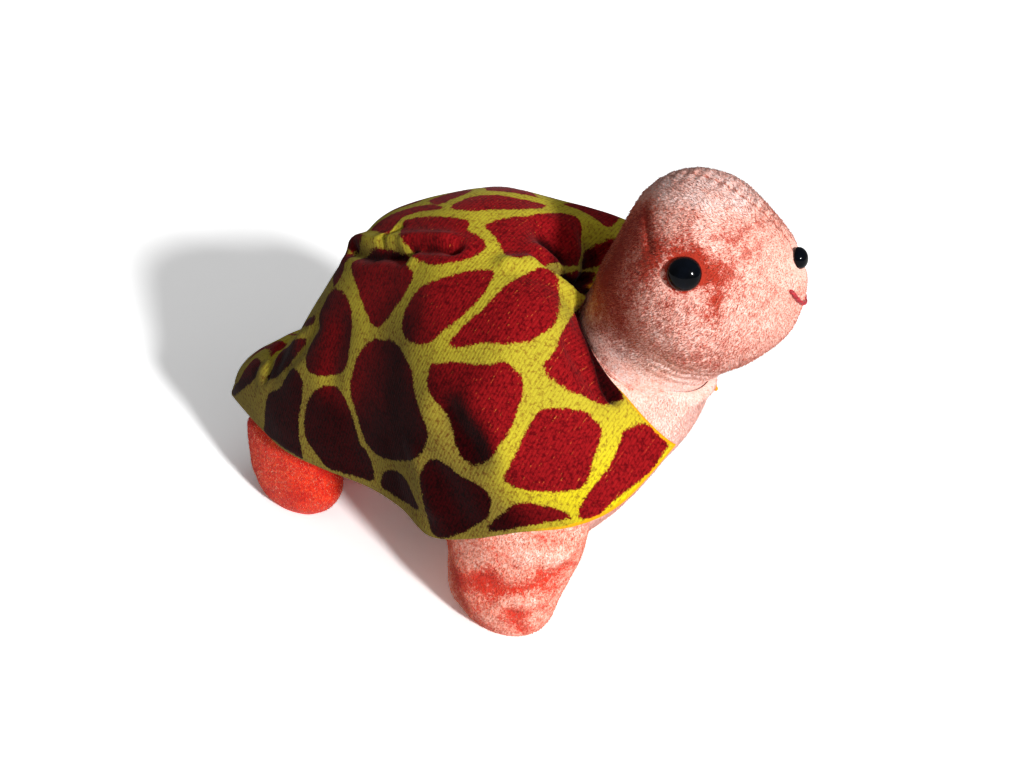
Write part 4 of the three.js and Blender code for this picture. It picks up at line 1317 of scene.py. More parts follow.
def headSurface():
    outline = resample(headOutline(), headForm["rows"])
    at = headForm["easeUp"]
    eased = np.exp(-((outline[:, 1:] - at) / headForm["easeWidth"]) ** 2)
    outline = soften(outline, 20)
    outline = outline + (soften(outline, 260) - outline) * eased
    grid = flattenBack(latheGrid(outline, headForm["segments"]))
    world = fromNeck(grid)
    fromCentre = world - headCentre
    normal = facingOut(gridNormals(world, wrap=True), fromCentre)
    normal[-1] = neckTurn[:, 1]
    y = grid[..., 1]
    onHead = smooth(y, 12, 24)
    direction = unit(fromCentre)
    lift = np.zeros(world.shape[:-1])
    recess = np.zeros(world.shape[:-1])
    for depth, width, turn, rise in headForm["trims"]:
        apart = np.degrees(np.arccos(np.clip(direction @ outward(turn, rise), -1, 1)))
        lift -= depth * np.exp(-(apart / width) ** 2) * onHead
    rise = np.degrees(np.arcsin(np.clip(direction[..., 2], -1, 1)))
    keel = smooth(rise, 28, 4) * smooth(rise, -50, -22) * smooth(-direction[..., 1], 0.2, 0.6)
    lift += headForm["keel"] * np.exp(-(world[..., 0] / headForm["keelWidth"]) ** 2) * keel
    # seam over the crown from the nape to the nose, with puckers beside it
    along = np.arctan2(direction[..., 2], -direction[..., 1]) * neck["headRadius"]
    side = np.abs(world[..., 0])
    seamy = onHead * smooth(direction[..., 2], 0.2, 0.5)
    lift -= headForm["seamDepth"] * np.exp(-(side / headForm["seamWidth"]) ** 2) * seamy
    recess += 0.4 * np.exp(-(side / 1.0) ** 2) * seamy
    scallop = np.cos(2 * math.pi * along / headForm["puckerPitch"] + 1.5 * ripple(world, 20, 3))
    lift += headForm["pucker"] * scallop * np.exp(-(side / headForm["puckerWidth"]) ** 2) * seamy
    # pits that the eyes are pulled into
    for turn in (-headForm["eyeTurn"], headForm["eyeTurn"]):
        middle = headCentre + outward(turn, headForm["eyeRise"]) * neck["headRadius"]
        away = np.linalg.norm(world - middle, axis=-1)
        lift -= headForm["eyePit"] * np.exp(-(away / headForm["eyePitWidth"]) ** 2) * onHead
        # painted shade in a ring where the plush meets the bead
        recess += 0.8 * np.exp(-((away - 5.0) / 1.1) ** 2) * onHead
    for depth, width, *marks in headForm["creases"]:
        for hand in (1, -1):
            lift -= depth * np.exp(-(distanceToLine(world, headLine(marks, hand)) / width) ** 2)
    for amount, width, *marks in headForm["partings"]:
        for hand in (1, -1):
            recess += amount * np.exp(-(distanceToLine(world, headLine(marks, hand)) / width) ** 2)
    nose = headCentre + outward(0, headForm["noseRise"]) * neck["headRadius"]
    away = np.linalg.norm(world - nose, axis=-1)
    lift -= headForm["nosePit"] * np.exp(-(away / headForm["nosePitWidth"]) ** 2)
    # wrinkles where the cheek meets the neck, painted darker in their valleys as painted shade
    folds = np.exp(-((y - 10) / 7) ** 2) * smooth(direction[..., 1], 0.55, -0.2)
    wrinkle = np.cos(2 * math.pi * (y + 2.4 * ripple(world, 14, 5)) / headForm["wrinkleGap"])
    lift += headForm["wrinkle"] * wrinkle * folds
    recess += 0.2 * folds * smooth(-wrinkle, 0.2, 1)
    lift += headForm["wave"] * ripple(world, 26, 6) * smooth(y, 5, 25)
    lift += headForm["smallWave"] * ripple(world, 6, 7)
    # the back of the neck swells to fill the collar
    behind = smooth(-np.cos(np.arctan2(grid[..., 0], grid[..., 2])), 0.1, 0.75)
    lift += headForm["flare"] * smooth(y, -4, 0.5) * (1 - smooth(y, 4, 12)) * behind
    world = world + normal * lift[..., None]
    # the face is narrower than the back of the head
    world[..., 0] *= 1 - headForm["muzzle"] * smooth(-direction[..., 1], 0.1, 1) * onHead
    faceFront = smooth(direction @ unit(outward(0, 5)), 0.45, 0.95) * onHead
    throat = (1 - smooth(y, 4, 22)) * smooth(-direction[..., 1], -0.6, 0.4)
    # painted shade over the back of the head, away from the light
    nape = smooth(direction @ unit(np.array([-0.35, 0.9, 0.1])), 0.55, 0.98)
    recess += 0.4 * nape
    mottle = smooth(-ripple(world, 4.6, 9), 0.08, 0.5) + 0.6 * smooth(-ripple(world, 9, 10), 0.1, 0.5)
    recess += 0.16 * mottle * smooth(y, 8, 22) * (1 - 0.6 * faceFront)
    # darker all over, and darker still on the face, which is painted shade against the strong light on it
    recess += (0.15 + 0.27 * faceFront) * smooth(y, 10, 24)
    # painted light under the chin and down the throat, where the pile is painted less dark
    recess *= 1 - 0.7 * throat
    # painted light over the crown
    recess -= headForm["pale"] * onHead * smooth(rise, 44, 64)
    # the face and the throat are marked pale, the throat as painted light
    return world, normal, np.clip(recess, -0.3, 1), np.clip(faceFront + 0.9 * throat, 0, 1)


def closedLathe(outer, inner):
    # an outer and an inner wrapped grid, both closed at their last row, joined at their first
    segments = outer.shape[1]
    count = outer.shape[0] * segments
    around = np.arange(segments)
    rim = np.stack([around, count + around, count + np.roll(around, -1), np.roll(around, -1)], -1)
    faces = np.concatenate([gridFaces(outer.shape[0], segments, True),
                            gridFaces(inner.shape[0], segments, True, count)[:, ::-1], rim])
    return np.concatenate([outer.reshape(-1, 3), inner.reshape(-1, 3)]), faces


headGrid, headNormal, headRecess, headPaleAndPaintedLight = headSurface()


def seatOn(grid, direction):
    # how far the head's surface lies from its centre in one direction
    away = grid.reshape(-1, 3) - headCentre
    along = unit(away) @ direction
    near = np.argsort(-along)[:12]
    return float(np.mean(np.linalg.norm(away[near], axis=-1)))


def makeHead():
    points, faces = closedLathe(headGrid, headGrid - headNormal * shell["plushThickness"])
    piece = addPiece("headSkin", points, faces, pinkPlush, {
        "recess": np.tile(headRecess.ravel(), 2), "paleAndPaintedLight": np.tile(headPaleAndPaintedLight.ravel(), 2)})
    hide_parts("head_skin")
    bendNeck(piece)
    print("head made,", len(piece.data.polygons), "faces")


neckBend = (1.0, 13.0)  # mm up the neck, between which it bends with a nod


def bendNeck(piece):
    # the neck's skin follows the neck at the collar and the head at the cheeks
    start, end = (fromNeck(np.array([0, y, 0])) * millimetre for y in neckBend)
    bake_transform(piece, "neck", "head", start=tuple(start), end=tuple(end))


def makeHeadPile():
    # short at the collar and round the beads, none under them
    heightUp = (headGrid - neck["root"]) @ neckTurn[:, 1]
    thick = smooth(heightUp, -2.5, 0.5)
    tall = np.ones(headRecess.shape)
    for seat, reach, radius in seats:
        away = np.linalg.norm(headGrid - headCentre - seat * reach, axis=-1)
        thick = thick * smooth(away, radius * 0.8, radius * 1.05)
        tall = tall * (0.35 + 0.65 * smooth(away, radius, radius + 3))
    tall = tall * (0.55 + 0.45 * smooth(heightUp, 2, 12)) * (1 - 0.3 * headPaleAndPaintedLight)
    swirl = 0.5 * np.stack([ripple(headGrid, 18, seed) for seed in (61, 62, 63)], -1)
    comb = combing(headNormal, np.array([0, 0.9, -0.55]) + swirl, pile["lean"])
    growPile("headPile", headGrid, True,
             {"recess": headRecess, "paleAndPaintedLight": headPaleAndPaintedLight, "thick": thick, "tall": tall}, comb,
             headForm["pileDensity"], pinkPile, bendNeck)


makeHead()


# Eyes, nose and smile

bead = {
    "eyeRadius": 5.25,  # mm
    "noseRadius": 3.5,
    "rim": 0.12,  # how high its widest place is, as a share of its radius
    "underside": 0.94,
    "domeSquash": 0.78,
    "corner": 0.18,  # mm, how round its lower edge is
    "shankRadius": 1.5,
    "shankLength": 8,
    "bevel": 0.3,
    "proud": 0.1,  # how far it stands off the plush
    "segments": 48,
}


def beadFinish():
    finish = Finish("blackBead", 0.12, {"Specular IOR Level": 0.16, "Coat Weight": 0.04,
                                        "Coat Roughness": 0.05})
    place = finish.place()
    finish.colour(finish.mix(finish.ramp(finish.noise(place, 180, 2), 0.3, 0.7),
                             linear(2, 3, 5), linear(6, 10, 18)))
    finish.rough(finish.ramp(finish.noise(place, 900, 3), 0.45, 0.8, 0.1, 0.2))
    return finish.material


blackBead = beadFinish()
seats = []  # each bead's direction, distance from the head's centre and radius


def turnedRing(outline, direction, centre, segments):
    # an outline turned round an axis that points one way from the centre
    turned = np.array(Vector(direction).to_track_quat("Y", "X").to_matrix())
    return latheGrid(np.array(outline, float), segments) @ turned.T + centre


def makeBead(name, node, turn, rise, radius):
    long, thick, bevel = bead["shankLength"], bead["shankRadius"], bead["bevel"]
    curve = arcPoints(radius * bead["rim"], radius, 0, math.pi / 2, 22)
    curve[:, 1] *= bead["domeSquash"]
    curve[-1, 0] = 0
    corner = arcPoints(bead["corner"], bead["corner"], -math.pi / 2, 0, 4)
    corner[:, 0] += radius - bead["corner"]
    outline = np.concatenate([
        [[0, -long], [thick - bevel, -long], [thick, -long + bevel], [thick, 0],
         [radius * bead["underside"] - 0.2, 0]], corner, curve[1:]])
    direction = outward(turn, rise)
    reach = seatOn(headGrid, direction) + bead["proud"]
    seats.append((direction, reach, radius))
    grid = turnedRing(outline, direction, headCentre + direction * reach, bead["segments"])
    piece = addRound(name, grid, blackBead)
    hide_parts(node)
    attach(piece, "head")


for name, node, side in (("eyeRight", "eye_right", -1), ("eyeLeft", "eye_left", 1)):
    makeBead(name, node, side * headForm["eyeTurn"], headForm["eyeRise"], bead["eyeRadius"])
makeBead("noseBead", "nose_bead", 0, headForm["noseRise"], bead["noseRadius"])

smile = {
    "width": 15.5,  # mm
    "depth": 6.4,
    "rise": 3.6,  # degrees up from the head's middle
    "shift": 1.2,  # degrees round from the face
    "radius": 0.66,
    "twist": 2.4,  # mm from one ply to the next
    "lobes": 0.14,  # how much its two plies show
    "sides": 14,
    "colour": linear(190, 14, 36),
}


def threadFinish(name, colour):
    deep = tuple(c * 0.45 for c in colour[:3]) + (1,)
    return Finish(name, 0.55, {"Sheen Weight": 0.2}).mottle(deep, colour, 0.15, 0.7, 1800, 3, 0.6)


def tube(centres, radius, sides, lobes, twist):
    # a two-ply thread along a line of points, round at both ends
    along = unit(np.gradient(centres, axis=0))
    side = unit(np.cross(along, np.array([0.0, 0.0, 1.0])))
    other = np.cross(side, along)
    length = np.concatenate([[0], np.cumsum(np.linalg.norm(np.diff(centres, axis=0), axis=1))])
    ends = np.minimum(length, length[-1] - length)
    angle = np.arange(sides) / sides * 2 * math.pi
    rings = []
    for k, centre in enumerate(centres):
        wide = radius * (1 + lobes * np.cos(2 * (angle - length[k] / twist * math.pi)))
        wide = wide * math.sqrt(max(1 - max(1 - ends[k] / radius, 0) ** 2, 0.0))
        way = np.cos(angle)[:, None] * side[k] + np.sin(angle)[:, None] * other[k]
        rings.append(centre + wide[:, None] * way)
    return np.array(rings)


def makeSmile():
    k = np.linspace(-1, 1, 61)
    reach = neck["headRadius"] + shell["clearance"] + smile["radius"] * 0.2
    rise = smile["rise"] - math.degrees(smile["depth"] / neck["headRadius"]) * (1 - k * k)
    turn = smile["shift"] + np.degrees(np.arcsin(k * smile["width"] / 2 / reach))
    ways = [outward(a, b) for a, b in zip(turn, rise)]
    proud = smile["radius"] * 0.7
    centres = soften(np.array([headCentre + way * (seatOn(headGrid, way) + proud) for way in ways]), 12)
    # both ends dive into the plush
    sink = smooth(np.abs(k), 0.9, 1) * 1.4
    centres -= unit(centres - headCentre) * sink[:, None]
    rings = tube(centres, smile["radius"], smile["sides"], smile["lobes"], smile["twist"])
    piece = addRound("smileThread", rings, threadFinish("redThread", smile["colour"]))
    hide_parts("smile_thread")
    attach(piece, "head")


makeSmile()
makeHeadPile()
print("face made")


# Behind the face: washers, stuffing and the sleeve for the fingers

pocket = {
    "waistRise": 5,  # mm up the neck
    "waistRadius": 12.5,
    "tipRadius": 11,
    "pastCentre": 4,  # mm past the head's centre
    "segments": 90,
}
washer = {"thickness": 1.2, "overhang": 1, "segments": 40}  # mm, the overhang past its bead


def pocketOutline(outset):
    mouthDepth = -math.sqrt(neck["radius"] ** 2 - neck["mouthRadius"] ** 2)
    tip = neck["length"] + pocket["pastCentre"]
    mouth = neck["mouthRadius"] - shell["plushThickness"] - shell["clearance"] - shell["liningThickness"]
    reach = pocket["tipRadius"] + outset
    marks = [(mouth + outset, mouthDepth), (pocket["waistRadius"] + outset, pocket["waistRise"])]
    dome = arcPoints(tip - pocket["tipRadius"], reach, 0, math.pi / 2, 12)
    return soften(resample(np.concatenate([marks, dome]), 60), 3)


def washerFinish():
    finish = Finish("washerPlastic", 0.35, {"Subsurface Weight": 0.2, "Coat Weight": 0.15})
    place = finish.place()
    finish.colour(finish.mix(finish.ramp(finish.noise(place, 500, 2), 0.35, 0.7),
                             linear(228, 228, 222), linear(206, 208, 204)))
    finish.bump(finish.noise(place, 1200, 2), 0.05, 0.4)
    return finish.material


def makeWasher(seat, name, node, finish):
    direction, _, radius = seat
    rim = radius + washer["overhang"]
    bore = bead["shankRadius"] + 0.1
    thick = washer["thickness"]
    away = headGrid.reshape(-1, 3) - headCentre
    depth = away @ direction
    side = np.sqrt(np.maximum(np.linalg.norm(away, axis=-1) ** 2 - depth ** 2, 0))
    over = depth[(side < rim + 0.5) & (unit(away) @ direction > 0.8)]
    outerFace = over.min() - shell["plushThickness"] - 0.2
    outline = [
        (bore, 0.1), (bore + 0.4, 0), (rim - 0.5, 0), (rim - 0.15, -0.15), (rim, -0.5), (rim, -thick + 0.2),
        (rim - 0.2, -thick), (bore + 0.9, -thick), (bore + 0.5, -thick - 0.5), (bore, -thick - 0.5),
        (bore, 0.1)]
    ring = turnedRing(outline, direction, headCentre + direction * outerFace, washer["segments"])
    piece = addRound(name, ring, finish)
    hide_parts(node)
    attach(piece, "head")


def makeHeadStuffing():
    outer = headGrid - headNormal * (shell["plushThickness"] + shell["clearance"])
    inner = fromNeck(latheGrid(pocketOutline(shell["liningThickness"] + shell["clearance"]), outer.shape[1]))
    piece = addPiece("headStuffing", *closedLathe(outer[::2, ::2], inner[:, ::2]), stuffingFibre)
    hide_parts("head_stuffing")
    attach(piece, "head")


def makeSleeve():
    segments = pocket["segments"]
    outer, inner = (fromNeck(latheGrid(pocketOutline(outset), segments))
                    for outset in (shell["liningThickness"], 0))
    around = np.tile(np.arange(segments) / segments * 2 * math.pi * 12, len(outer) * 2)
    along = np.tile(np.repeat(np.linspace(0, 60, len(outer)), segments), 2)
    piece = addPiece("fingerSleeve", *closedLathe(outer, inner), liningCotton, None,
                     np.stack([around, along], -1) / 100)
    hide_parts("finger_sleeve")
    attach(piece, "head")


washerPlastic = washerFinish()
for seat, name, node in zip(seats, ("eyeWasherRight", "eyeWasherLeft", "noseWasher"),
                            ("eye_washer_right", "eye_washer_left", "nose_washer")):
    makeWasher(seat, name, node, washerPlastic)
makeHeadStuffing()
makeSleeve()
print("washers, stuffing and sleeve made")


# Belly

belly = {
    "seamColumn": 1 - 2 / 14,  # the turn at which it parts from the shell's side
    "seat": 0.5,  # where its edge lies, from that seam (0) to the hem (1)
    "taper": 0.08,  # how much narrower it is underneath
    "tuck": 0.4,  # how far its front end is drawn towards the neck's root
    "lastRow": 20 / 21,  # where it ends along the shell
    "firstShare": 2 / 21,  # and where it starts
    "opening": {"y": 20, "halfWidth": 30, "halfLength": 31, "cutHeight": 48},  # mm
    "pileDensity": 3.6,  # strands per mm2
    "pileLength": 0.85,
    "topShorter": 0.2,  # how much shorter it gets towards the neck
    "underThin": 0.22,  # how dense it is underneath, against the chest
    "rows": 96,
    "columns": 84,
    "bibRows": 30,
}


def liningFace(t, turn):
    under = (shell["coverThickness"] + shell["clearance"] + waddingDepth(t, turn) + shell["clearance"]
             + shell["liningThickness"])
    return shellInside(t, turn, under + shell["clearance"])


def bellyDrape(t, turn):
    t, turn = np.broadcast_arrays(np.asarray(t, float), np.asarray(turn, float))
    row = splineRow(shell["stations"], t)
    angle = turn * math.pi / 2
    one = np.ones_like(t)
    seam, hem = liningFace(t, belly["seamColumn"] * one), liningFace(t, one)
    edge = seam + (hem - seam) * belly["seat"]
    down = np.maximum(np.cos(angle), 0)
    keelY = shell["rearTipY"] - shell["length"] * row[..., 8]
    keelZ = shell["hemHeight"] - shell["bellyDrop"] * row[..., 9]
    return asPoints(edge[..., 0] * np.sin(angle) * (1 - belly["taper"] * down),
                    edge[..., 1] + (keelY - edge[..., 1]) * down,
                    edge[..., 2] + (keelZ - edge[..., 2]) * down)


def bellyFace(t, turn):
    t = np.asarray(t, float)
    point = bellyDrape(np.minimum(t / belly["lastRow"], 1), turn)
    tuck = np.clip((t - belly["lastRow"]) / (1 - belly["lastRow"]), 0, 1)[..., None] * belly["tuck"]
    return point + (neck["root"] - point) * tuck


# The bib: the belly's front end, drawn up round the throat to the neck

bib = {
    "halfTurn": 112,  # degrees round the neck, from the front
    "sideTurn": 0.45,  # where the shell's collar and the bib part
    "top": 2.0,  # mm up the neck in front
    "sideTop": -1.5,
    "thin": 0.14,  # thickness at the top edge
    "middle": 1.1,
    "depth": 2.2,  # under the shell's face
    "reach": 0.35,  # how far in from its sides it follows the collar, as a share
    "bulge": 2.4,
    "slope": 0.5,  # how steeply it may rise from under the collar
    "chest": 2.6,  # how far the chest is drawn in
    "neckGap": 0.03,  # mm off the neck at its top edge
}
bandGap = 0.12  # mm between the neck's skin and the band


def bibFace(v, turn):
    # v runs from the belly's end (0) to the neck (1)
    u = (turn + 1) / 2
    low = bellyDrape(1.0, turn)
    ballRadius = neck["radius"] + bib["neckGap"] + bib["thin"]

    def onNeck(turn):
        angle = np.radians(turn * bib["halfTurn"])
        aside = smooth(np.abs(np.degrees(angle)), 60, bib["halfTurn"])
        up = bib["top"] + (bib["sideTop"] - bib["top"]) * aside
        across = np.sqrt(ballRadius ** 2 - up ** 2)
        return fromNeck(asPoints(across * np.sin(angle), up, across * np.cos(angle)))

    def side(sign):
        # up the inside of the shell's collar
        start, end = bellyDrape(1.0, sign * 1.0), onNeck(np.array([sign * 1.0]))[0]
        rise = v[:, :1]
        turns = sign * (1 - (1 - bib["sideTurn"]) * rise[:, 0])
        reach = meetsNeck(turns, collar["reach"])
        line = shellInside(reach - 0.015, turns, bib["depth"] + 0 * turns)
        line = line + (start - line[:1]) * (1 - smooth(rise, 0, 0.25))
        return line + (end - line[-1:]) * rise ** 2, start, end

    high = onNeck(turn)
    (right, lowRight, highRight), (left, lowLeft, highLeft) = side(-1), side(1)
    u, w = u[None, :, None], v[..., None]
    nearRight, nearLeft = 1 - smooth(u, 0, bib["reach"]), 1 - smooth(1 - u, 0, bib["reach"])
    face = ((1 - w) * low[None] + w * high[None]
            + nearRight * (right[:, None] - (1 - w) * lowRight - w * highRight)
            + nearLeft * (left[:, None] - (1 - w) * lowLeft - w * highLeft))
    thick = bibThickness(v)
    away = face - neck["root"]
    distance = np.linalg.norm(away, axis=-1)
    up = away @ neckTurn[:, 1]
    wanted = neck["radius"] + bandGap + thick + 1.1 * smooth(-up, 1, 4)
    bulge = bib["bulge"] * np.sin(math.pi * np.clip(v, 0, 1)) ** 0.7
    bulge = bulge * np.sin(math.pi * (turn[None, :] + 1) / 2)
    face = neck["root"] + away * (np.maximum(distance, wanted) / distance)[..., None]
    face = face + unit(away) * bulge[..., None]
    # near the shell's collar it lies under the cover
    turns = np.concatenate([np.linspace(-1, -0.4, 30), np.linspace(0.4, 1, 30)])
    reach = meetsNeck(turns, collar["reach"])
    edge, out = shellFace(reach, turns), faceNormal(shellFace, reach - 0.01, turns)
    apart = face[..., None, :] - edge
    nearest = np.linalg.norm(apart, axis=-1)
    k = nearest.argmin(-1)
    gap = np.take_along_axis(nearest, k[..., None], -1)[..., 0]
    high = (np.take_along_axis(apart, k[..., None, None], -2)[..., 0, :] * out[k]).sum(-1)
    over = np.maximum(high - (bib["slope"] * gap - bib["depth"]), 0)
    return face - out[k] * over[..., None] * (1 - smooth(gap, 8, 14))[..., None]


def bibThickness(v):
    down = shell["plushThickness"] + (bib["middle"] - shell["plushThickness"]) * smooth(v, 0, 0.3)
    return down + (bib["thin"] - bib["middle"]) * smooth(v, 0.3, 1)


# Legs

# mm, with how far the foot stands outwards; rings down a leg: how far down, thickness and width as shares
foreleg = {
    "rootHeight": 26, "rootRadius": 26, "halfThickness": 17, "splay": 4,
    "rings": [(0.3, 1, 1), (0.55, 0.93, 0.92), (0.78, 0.8, 0.81), (0.92, 0.6, 0.66), (1, 0.27, 0.34)],
    "plush": salmonPlush, "pileFinish": salmonPile, "slot": "pink_plush",
    "pile": {"length": 0.85, "density": 3.2, "tone": 0.2, "speckle": 0.17},
}
# the hind legs wear the pink plush painted in shade
hindleg = {
    "rootHeight": 11, "rootRadius": 22, "halfThickness": 9.5, "splay": 3,
    "rings": [(0.35, 1, 1), (0.62, 0.9, 0.96), (0.85, 0.62, 0.74), (1, 0.28, 0.37)],
    "plush": shadedPinkPlush, "pileFinish": shadedPinkPile, "slot": "orange_plush",
    "pile": {"length": 0.7, "density": 4.2, "tone": 0.32, "speckle": 0.5},
}
# swing is how many degrees back from straight down a leg stands
legs = [
    {"name": "foreleg_right", "piece": "forelegRight", "form": foreleg, "side": -1, "swing": 9.5, "seed": 11},
    {"name": "foreleg_left", "piece": "forelegLeft", "form": foreleg, "side": 1, "swing": 25, "seed": 12},
    {"name": "hindleg_right", "piece": "hindlegRight", "form": hindleg, "side": -1, "swing": 0, "seed": 13},
    {"name": "hindleg_left", "piece": "hindlegLeft", "form": hindleg, "side": 1, "swing": 0, "seed": 14},
]
legBend = {"start": 38, "end": 16}  # mm above the floor, between which a leg bends
legPileTop = 54  # mm above the floor, over which a leg is inside the shell


def legPivot(leg):
    return np.array(joints[leg["name"] + "_swing"]["pos_m"]) * 1000


def legGrid(leg, inset, rows, columns):
    form = leg["form"]
    pivot = legPivot(leg)
    swing = math.radians(leg["swing"])
    drop = (pivot[2] + 0.5) / math.cos(swing)
    marks = [[form["rootHeight"] - inset, 0, 0, 0]]
    for k in range(1, 5):
        angle = k / 4 * math.pi / 2
        marks.append([(form["rootHeight"] - inset) * math.cos(angle),
                      (form["halfThickness"] - inset) * math.sin(angle),
                      (form["rootRadius"] - inset) * math.sin(angle), 0])
    for share, thick, wide in form["rings"]:
        marks.append([-min(drop * share, drop - inset), max(form["halfThickness"] * thick - inset, 1),
                      max(form["rootRadius"] * wide - inset, 1), leg["side"] * form["splay"] * share * share])
    fine = splineRow(marks, np.linspace(0, 1, rows))
    fine[:, 1:3] = np.maximum(fine[:, 1:3], 0.01)
    angle = np.arange(columns) / columns * 2 * math.pi
    grid = asPoints(fine[:, 3:] + fine[:, 1:2] * np.cos(angle), fine[:, 2:3] * np.sin(angle),
                    fine[:, :1] + 0 * angle)
    closing = np.linspace(1, 0, 6)[1:, None, None] * (grid[-1] - grid[-1].mean(0)) + grid[-1].mean(0)
    turned = np.array(Matrix.Rotation(swing, 3, "X"))
    return np.concatenate([grid, closing]) @ turned.T + pivot


# creases pressed into a leg: depth, half-width, how deep their colour (painted shade in the crease, or a
# painted highlight on a ridge where it is less than 0), then the photo's pixels
legCreases = {
    "foreleg_right": [
        (2.2, 9.0, 0, (441, 562), (449, 604)),
        (0.6, 3.6, 0.5, (456, 578), (474, 582), (492, 580)),
        (0.7, 2.4, 0.3, (474, 605), (498, 595), (523, 588), (567, 564)),
        (0.3, 4.5, 0.2, (500, 592), (545, 576)),
        (-0.8, 3.0, -0.3, (522, 557), (568, 553)),
        (-0.6, 3.0, -0.2, (500, 606), (545, 600)),
        (0.7, 2.4, 0.36, (512, 612), (522, 632)),
        (0.3, 4.5, 0.3, (458, 608), (474, 628)),
        (0.2, 5.0, 0.3, (446, 552), (452, 596)),
    ],
}


def onGrid(grid, pixels):
    # the points of a surface that are seen at these places in the photo
    x, y, depth = (values.ravel() for values in seenAt(grid))
    found = []
    for pixel in pixels:
        away = np.hypot(x - pixel[0], y - pixel[1])
        close = away < max(away.min() * 1.3, 3.5)
        found.append(grid.reshape(-1, 3)[np.where(close, depth, 1e9).argmin()])
    return np.array(found)


def makeLeg(leg):
    form = leg["form"]
    grid = legGrid(leg, 0, 64, 84)
    normal = facingOut(gridNormals(grid, wrap=True), grid - grid.mean(axis=1, keepdims=True))
    below = smooth(grid[..., 2], 0, 4)
    lift = (0.9 * ripple(grid, 17, leg["seed"]) + 0.35 * ripple(grid, 7, leg["seed"] + 20)) * below
    recess = form["pile"]["tone"] + 0.25 * smooth(-ripple(grid, 13, leg["seed"] + 40), 0.1, 0.5) * below
    for depth, width, deep, *marks in legCreases.get(leg["name"], []):
        away = distanceToLine(grid, onGrid(grid, marks)) / width
        lift -= depth * np.exp(-away ** 2)
        # painted shade along each crease, or a painted highlight along a ridge
        recess += deep * np.exp(-(away * 0.8) ** 2)
    grid = grid + normal * lift[..., None]
    grid[..., 2] = np.maximum(grid[..., 2], 0)
    fields = {"recess": np.clip(recess, 0, 1), "paleAndPaintedLight": np.zeros(recess.shape)}
    piece = addRound(leg["piece"] + "Skin", grid, form["plush"], fields)
    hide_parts(leg["name"] + "_skin")
    swingLeg(piece, leg)
    # no pile under the foot, nor up inside the shell
    height = grid[..., 2]
    fields["thick"] = smooth(height, 0.4, 1.2) * (height < legPileTop)
    fields["tall"] = form["pile"]["length"] * (0.5 + 0.5 * smooth(height, 0.5, 4))
    swirl = 0.5 * np.stack([ripple(grid, 14, leg["seed"] + k) for k in (60, 61, 62)], -1)
    comb = combing(normal, np.array([0, 0.2, -1.0]) + swirl, pile["lean"])
    growPile(leg["piece"] + "Pile", grid, True, fields, comb, form["pile"]["density"], form["pileFinish"],
             lambda made: swingLeg(made, leg), form["pile"]["speckle"])


def swingLeg(piece, leg):
    # the top of a leg stays with the shell, and below it bends into the swing
    x, y = legPivot(leg)[:2] * millimetre
    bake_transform(piece, "torso", leg["name"], start=(x, y, legBend["start"] * millimetre),
             end=(x, y, legBend["end"] * millimetre))


def makeLegStuffing(leg):
    inset = shell["plushThickness"] + shell["clearance"]
    grid = legGrid(leg, inset, 40, 48)
    grid[..., 2] = np.maximum(grid[..., 2], inset)
    grid = grid + unit(grid - grid.mean((0, 1))) * (0.35 * ripple(grid, 6, leg["seed"]) - 0.7)[..., None]
    piece = addRound(leg["piece"] + "Stuffing", grid, stuffingFibre)
    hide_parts(leg["name"] + "_stuffing")
    swingLeg(piece, leg)


for leg in legs:
    makeLeg(leg)
    makeLegStuffing(leg)
print("legs made")


def nearLegs(points, reach):
    # 0 inside a leg or within reach of it, 1 well away from it
    clear = np.ones(points.shape[:-1])
    for leg in legs:
        grid = legGrid(leg, 0, 40, 48)
        normal = facingOut(gridNormals(grid, wrap=True), grid - grid.mean(axis=1, keepdims=True))
        grid, normal = grid.reshape(-1, 3), normal.reshape(-1, 3)
        tree = nearestTree(grid)
        for place in np.ndindex(points.shape[:-1]):
            _, k, away = tree.find(points[place])
            if away < reach or (points[place] - grid[k]) @ normal[k] < 0:
                clear[place] = 0
    return clear


